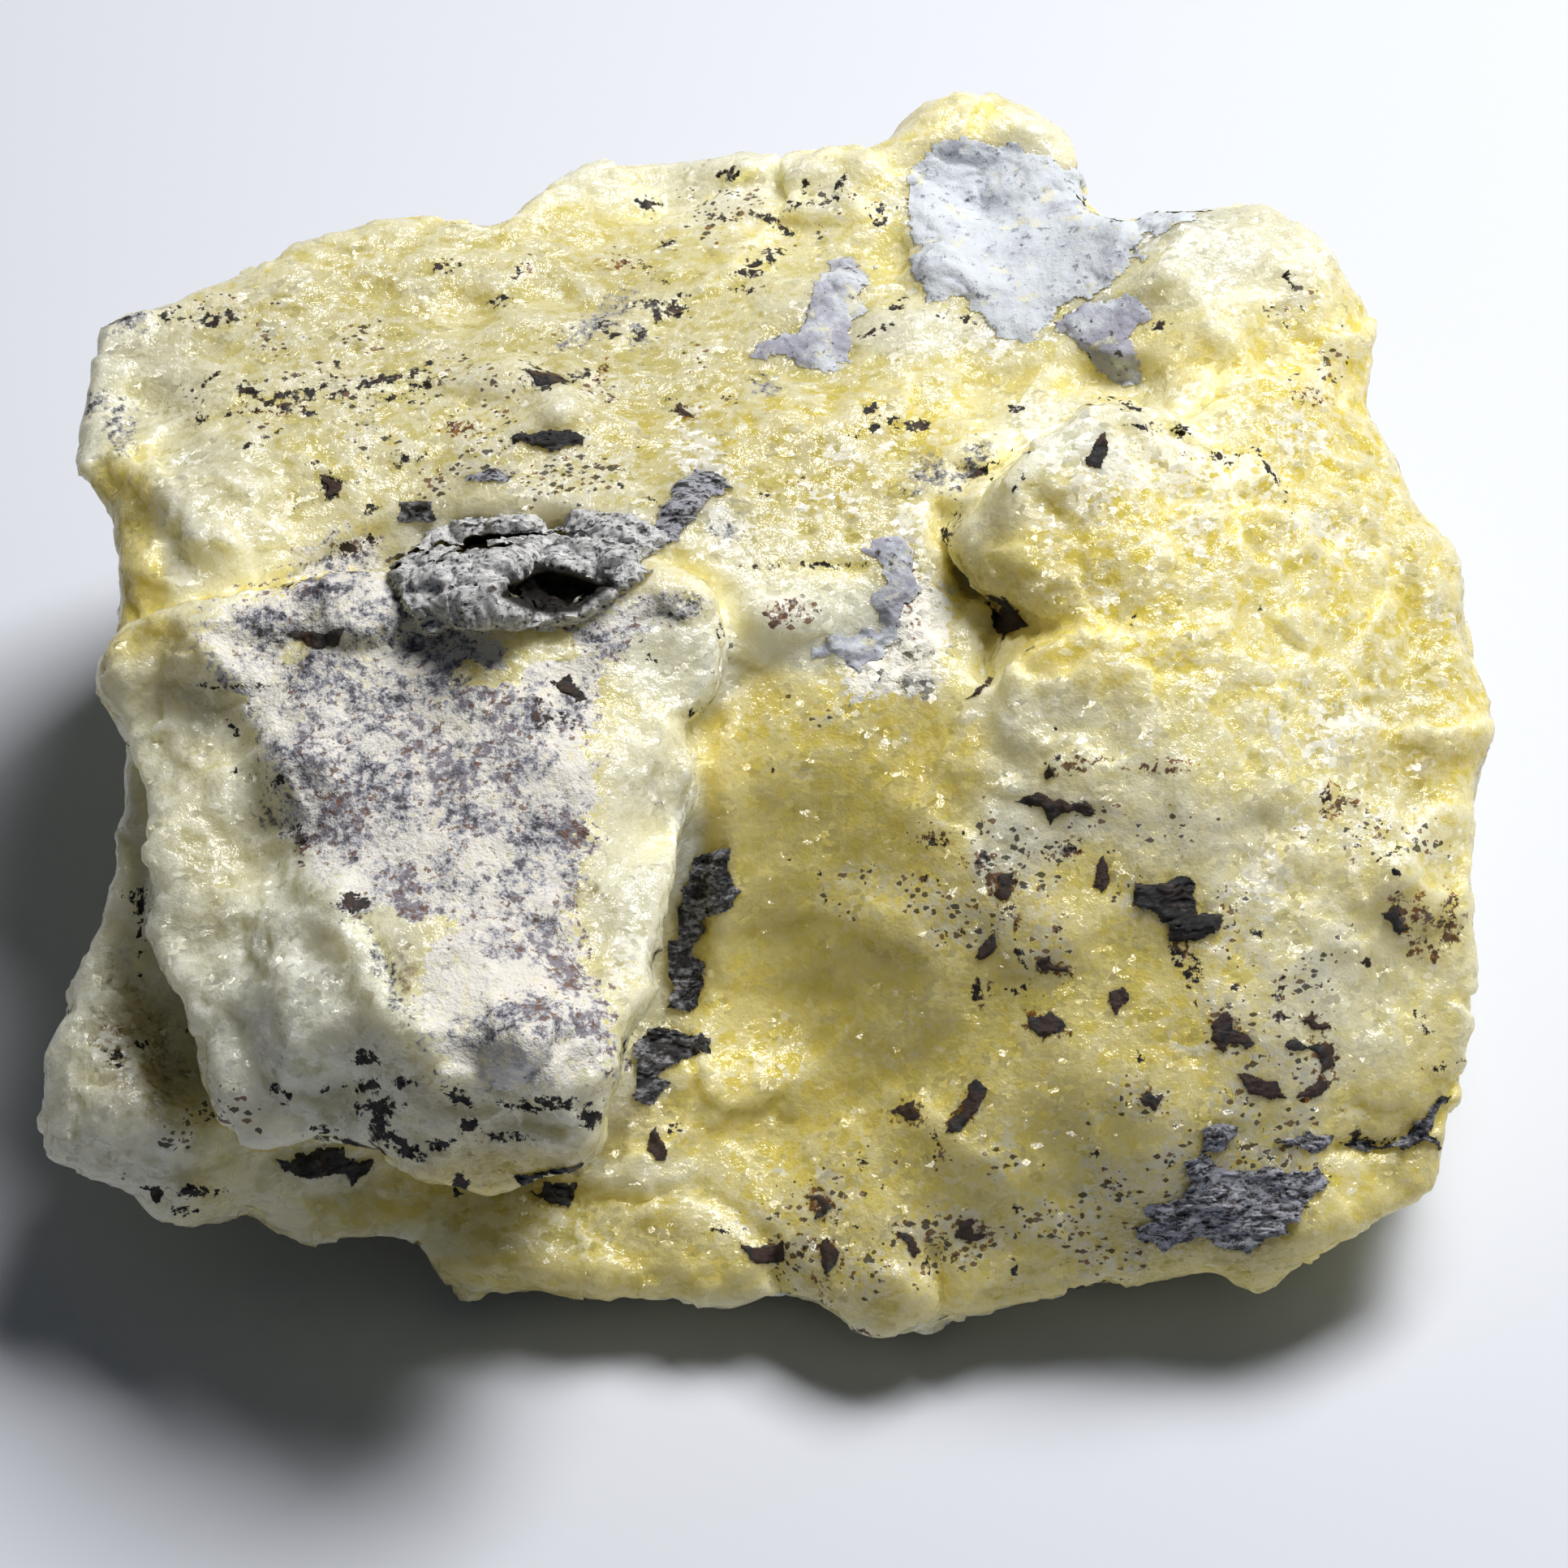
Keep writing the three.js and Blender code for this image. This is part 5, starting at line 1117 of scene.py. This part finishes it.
flakes = []
for count, outline in enumerate(FLAKES):
    piece, depth = skin("flake", outline, 3, 0.2, 1300 + 40 * count)
    height = 0.04 + 0.08 * np.clip(depth / 0.2, 0, 1)
    height += 0.04 * blotch(corners(piece.data), 0.3, 1700 + count, 2)
    raise_skin(piece, np.maximum(height, 0.02), 0.4)
    set_attribute(piece.data, "sheen_paint", 0.0)
    browned = blotch(corners(piece.data), 0.8, 1900 + count, 2)
    set_attribute(piece.data, "brown", np.clip(browned * 2 + 0.7, 0, 1))
    flakes.append(piece)
only(*flakes)
bpy.ops.object.join()
small_flakes = flakes[0]
small_flakes.name = "small_dark_flakes"
small_flakes.data.materials.append(slate)
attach(small_flakes, "root")

# Pale matrix
# The serpentine rock that the brucite grew on: powdery blue-white crusts, flush with the stone around them.
CRUSTS = {
    "matrix_wedge": [
        (7, 29.5), (8.2, 29.6), (10.4, 29.2), (12.6, 28.4), (15, 27.8), (17, 26.9), (19.6, 25.9),
        (17.6, 25.4), (16.4, 24.8), (15.8, 23.8), (15.2, 23.0), (14.6, 22.6), (13.4, 22.1), (12.6, 21.4),
        (12, 20.8), (11.4, 20), (10.2, 20.3), (9.2, 21.2), (8, 21.6), (6.4, 22.2), (5.9, 23), (5.9, 24.6),
        (5.8, 26), (5.5, 27.4), (6, 28.6),
    ],
    "matrix_tongue": [
        (1.6, 23.1), (2.2, 23.7), (3, 23.8), (4, 23.2), (3.7, 22), (3.3, 21.2), (3, 20.6), (3.2, 19.6),
        (3.3, 19.1), (2.4, 18.8), (1.6, 18.7), (0.8, 19), (-0.6, 19.3), (-1.8, 19.4), (-1, 20), (0.2, 20.6),
        (0.8, 21.4), (1.3, 22.4),
    ],
    "matrix_chip": [
        (12.1, 21.2), (13.2, 21.9), (14.6, 22.2), (15.8, 22.5), (16.4, 22.2), (16.8, 21.2), (16.2, 20.6),
        (15.8, 20.2), (15.8, 19.4), (16.4, 19), (15.9, 18.3), (15, 18.3), (14.8, 18.8), (14, 19.2),
        (13.2, 20),
    ],
    "matrix_crescent": [
        (3.6, 10.4), (4.4, 11.1), (5, 11.4), (5.8, 10.8), (5.9, 10), (5.9, 9), (5.8, 8), (5.3, 7.2),
        (4.8, 6.4), (4.2, 5.8), (3.4, 5.5), (3.1, 5), (2.7, 5.2), (2.4, 5.8), (1.8, 5.9), (1.2, 5.7),
        (1.6, 6.6), (2.3, 7), (3.2, 7), (4, 7.4), (4.3, 8), (4.2, 8.8), (4.4, 9.6), (4, 10),
    ],
}
# Weathered serpentine: chalky and quite matt, with grey flecks, creamy patches and specks of grime.
rock, tree, output = new_material("powdery serpentine")
mm_place = in_millimetres(tree)
patches = noise(tree, mm_place, 2.2, 5, 0.65)
flecks = noise(tree, mm_place, 0.5, 5, 0.7)
grimy = attribute(tree, "grimy")
greyed = ramp(tree, sums(tree, "ADD", patches, grimy), 0.5, 0.75)
colour = tint(tree, greyed, srgb("#CDD3DC"), srgb("#9C9CAC"))
colour = tint(tree, ramp(tree, flecks, 0.56, 0.64, 0.0, 0.8), colour, srgb("#7E8291"))
creamy = ramp(tree, noise(tree, mm_place, 1.2, 5, 0.7), 0.56, 0.64, 0.0, 0.7)
colour = tint(tree, creamy, colour, srgb("#DDD9BC"))
specks = ramp(tree, sums(tree, "ADD", flecks, sums(tree, "MULTIPLY", grimy, 0.3)), 0.64, 0.72)
colour = tint(tree, specks, colour, srgb("#4A3A33"))
grain = add_node(
    tree, "ShaderNodeBump", {"Strength": 0.9, "Distance": GRAIN_DEPTH, "Height": flecks}
).outputs["Normal"]
body = add_node(tree, "ShaderNodeBsdfPrincipled", {"Base Color": colour, "Roughness": 0.9, "Normal": grain})
tree.links.new(body.outputs["BSDF"], output.inputs["Surface"])
GRIME = {"matrix_wedge": 0.0, "matrix_tongue": 0.14, "matrix_chip": 0.2, "matrix_crescent": 0.12}
for count, (node_name, outline) in enumerate(CRUSTS.items()):
    cuts = 1 if node_name == "matrix_wedge" else 2
    piece, depth = skin(node_name + "_crust", outline, cuts, 0.35, 2300 + 40 * count)
    points = corners(piece.data)
    height = 0.05 + 0.2 * np.clip(depth / 0.8, 0, 1) + 0.06 * blotch(points, 1.6, 2500 + count, 3)
    height += 0.012 * blotch(points, 0.3, 2700 + count, 2)
    raise_skin(piece, np.maximum(height, 0.03), 0.8, 80)
    set_attribute(piece.data, "grimy", GRIME[node_name])
    piece.data.materials.append(rock)
    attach(piece, "root")
    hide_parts(node_name)

# Knob of fibres
# A knob of matted, weathered serpentine fibre at the head of the block, with a hole eaten into it,
# painted dark inside as shade.
HOLE = [
    (-13.2, 8.4), (-12.8, 9.2), (-11.8, 9.6), (-10.8, 10), (-9.6, 9.8), (-8.6, 9.4), (-7.6, 9.3),
    (-7.6, 8.9), (-8.6, 8.2), (-9.4, 7.6), (-10.8, 7.5), (-12, 7.8),
]
knob, depth = skin("fibre_knob", KNOB, 1, 0.2, 3100)
points = corners(knob.data)
HOLE_WALL = 0.5  # mm over which the hole's wall drops
sunk = np.clip(within(*wandered(points, *seen_at(points), 0.25, 0.8, 3210), HOLE) / HOLE_WALL, 0, 1)
mat = points * [0.8, 1.1, 1.1]
height = 0.15 + 0.75 * np.clip(depth / 0.45, 0, 1) + 0.38 * blotch(mat, 1.6, 3230, 3)
height += 0.16 * np.round(blotch(mat, 0.7, 3240) * 2) + 0.08 * blotch(mat, 0.35, 3250, 2)
height = np.maximum(height, 0.2)
height -= sunk * (1.5 + 0.2 * blotch(points, 1, 3260))
raise_skin(knob, height, 2.8, 70)

# Weathered serpentine fibre: greyish white, matt threads with dark gaps and brown dust between them, and
# painted shade in its creases and in its hole.
fibre, tree, output = new_material("matted serpentine fibre")
mm_place = in_millimetres(tree)
strands = add_node(
    tree, "ShaderNodeVectorMath", {0: mm_place, 1: (0.7, 1.3, 1.3)}, operation="MULTIPLY"
).outputs[0]
threads = noise(tree, strands, 0.35, 6, 0.75)
patches = noise(tree, mm_place, 0.9, 6, 0.75)
hollow = ramp(tree, attribute(tree, "sunk"), 0.1, 0.7)
colour = tint(tree, ramp(tree, threads, 0.4, 0.6), srgb("#F4F4F4"), srgb("#B9BABF"))
colour = tint(tree, ramp(tree, patches, 0.56, 0.62, 0.0, 0.75), colour, srgb("#66656C"))
colour = tint(tree, ramp(tree, threads, 0.56, 0.62), colour, srgb("#1B1716"))
colour = tint(tree, ramp(tree, patches, 0.59, 0.66, 0.0, 0.7), colour, srgb("#5A3A28"))
# Painted shade: where the knob's skin lies below its neighbours, it is painted dark grey.
colour = tint(tree, ramp(tree, attribute(tree, "ridge"), -0.06, -0.2, 0.0, 0.85), colour, srgb("#3A3431"))
# Painted shade: the inside of the hole is painted near black and dark brown.
hole_shade_colour = tint(tree, ramp(tree, threads, 0.5, 0.64), srgb("#0D0B0A"), srgb("#3D3229"))
colour = tint(tree, hollow, colour, hole_shade_colour)
grain = add_node(
    tree, "ShaderNodeBump", {"Strength": 1.0, "Distance": 0.2 * MM, "Height": threads}
).outputs["Normal"]
body = add_node(tree, "ShaderNodeBsdfPrincipled", {"Base Color": colour, "Roughness": 0.7, "Normal": grain})
tree.links.new(body.outputs["BSDF"], output.inputs["Surface"])
knob.data.materials.append(fibre)
raised_depth = within(*seen_at(corners(knob.data)), HOLE)
set_attribute(knob.data, "sunk", np.clip(raised_depth / HOLE_WALL, 0, 1))
set_attribute(knob.data, "ridge", standing_out(knob.data, 6))
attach(knob, "root")
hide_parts("matrix_knob")
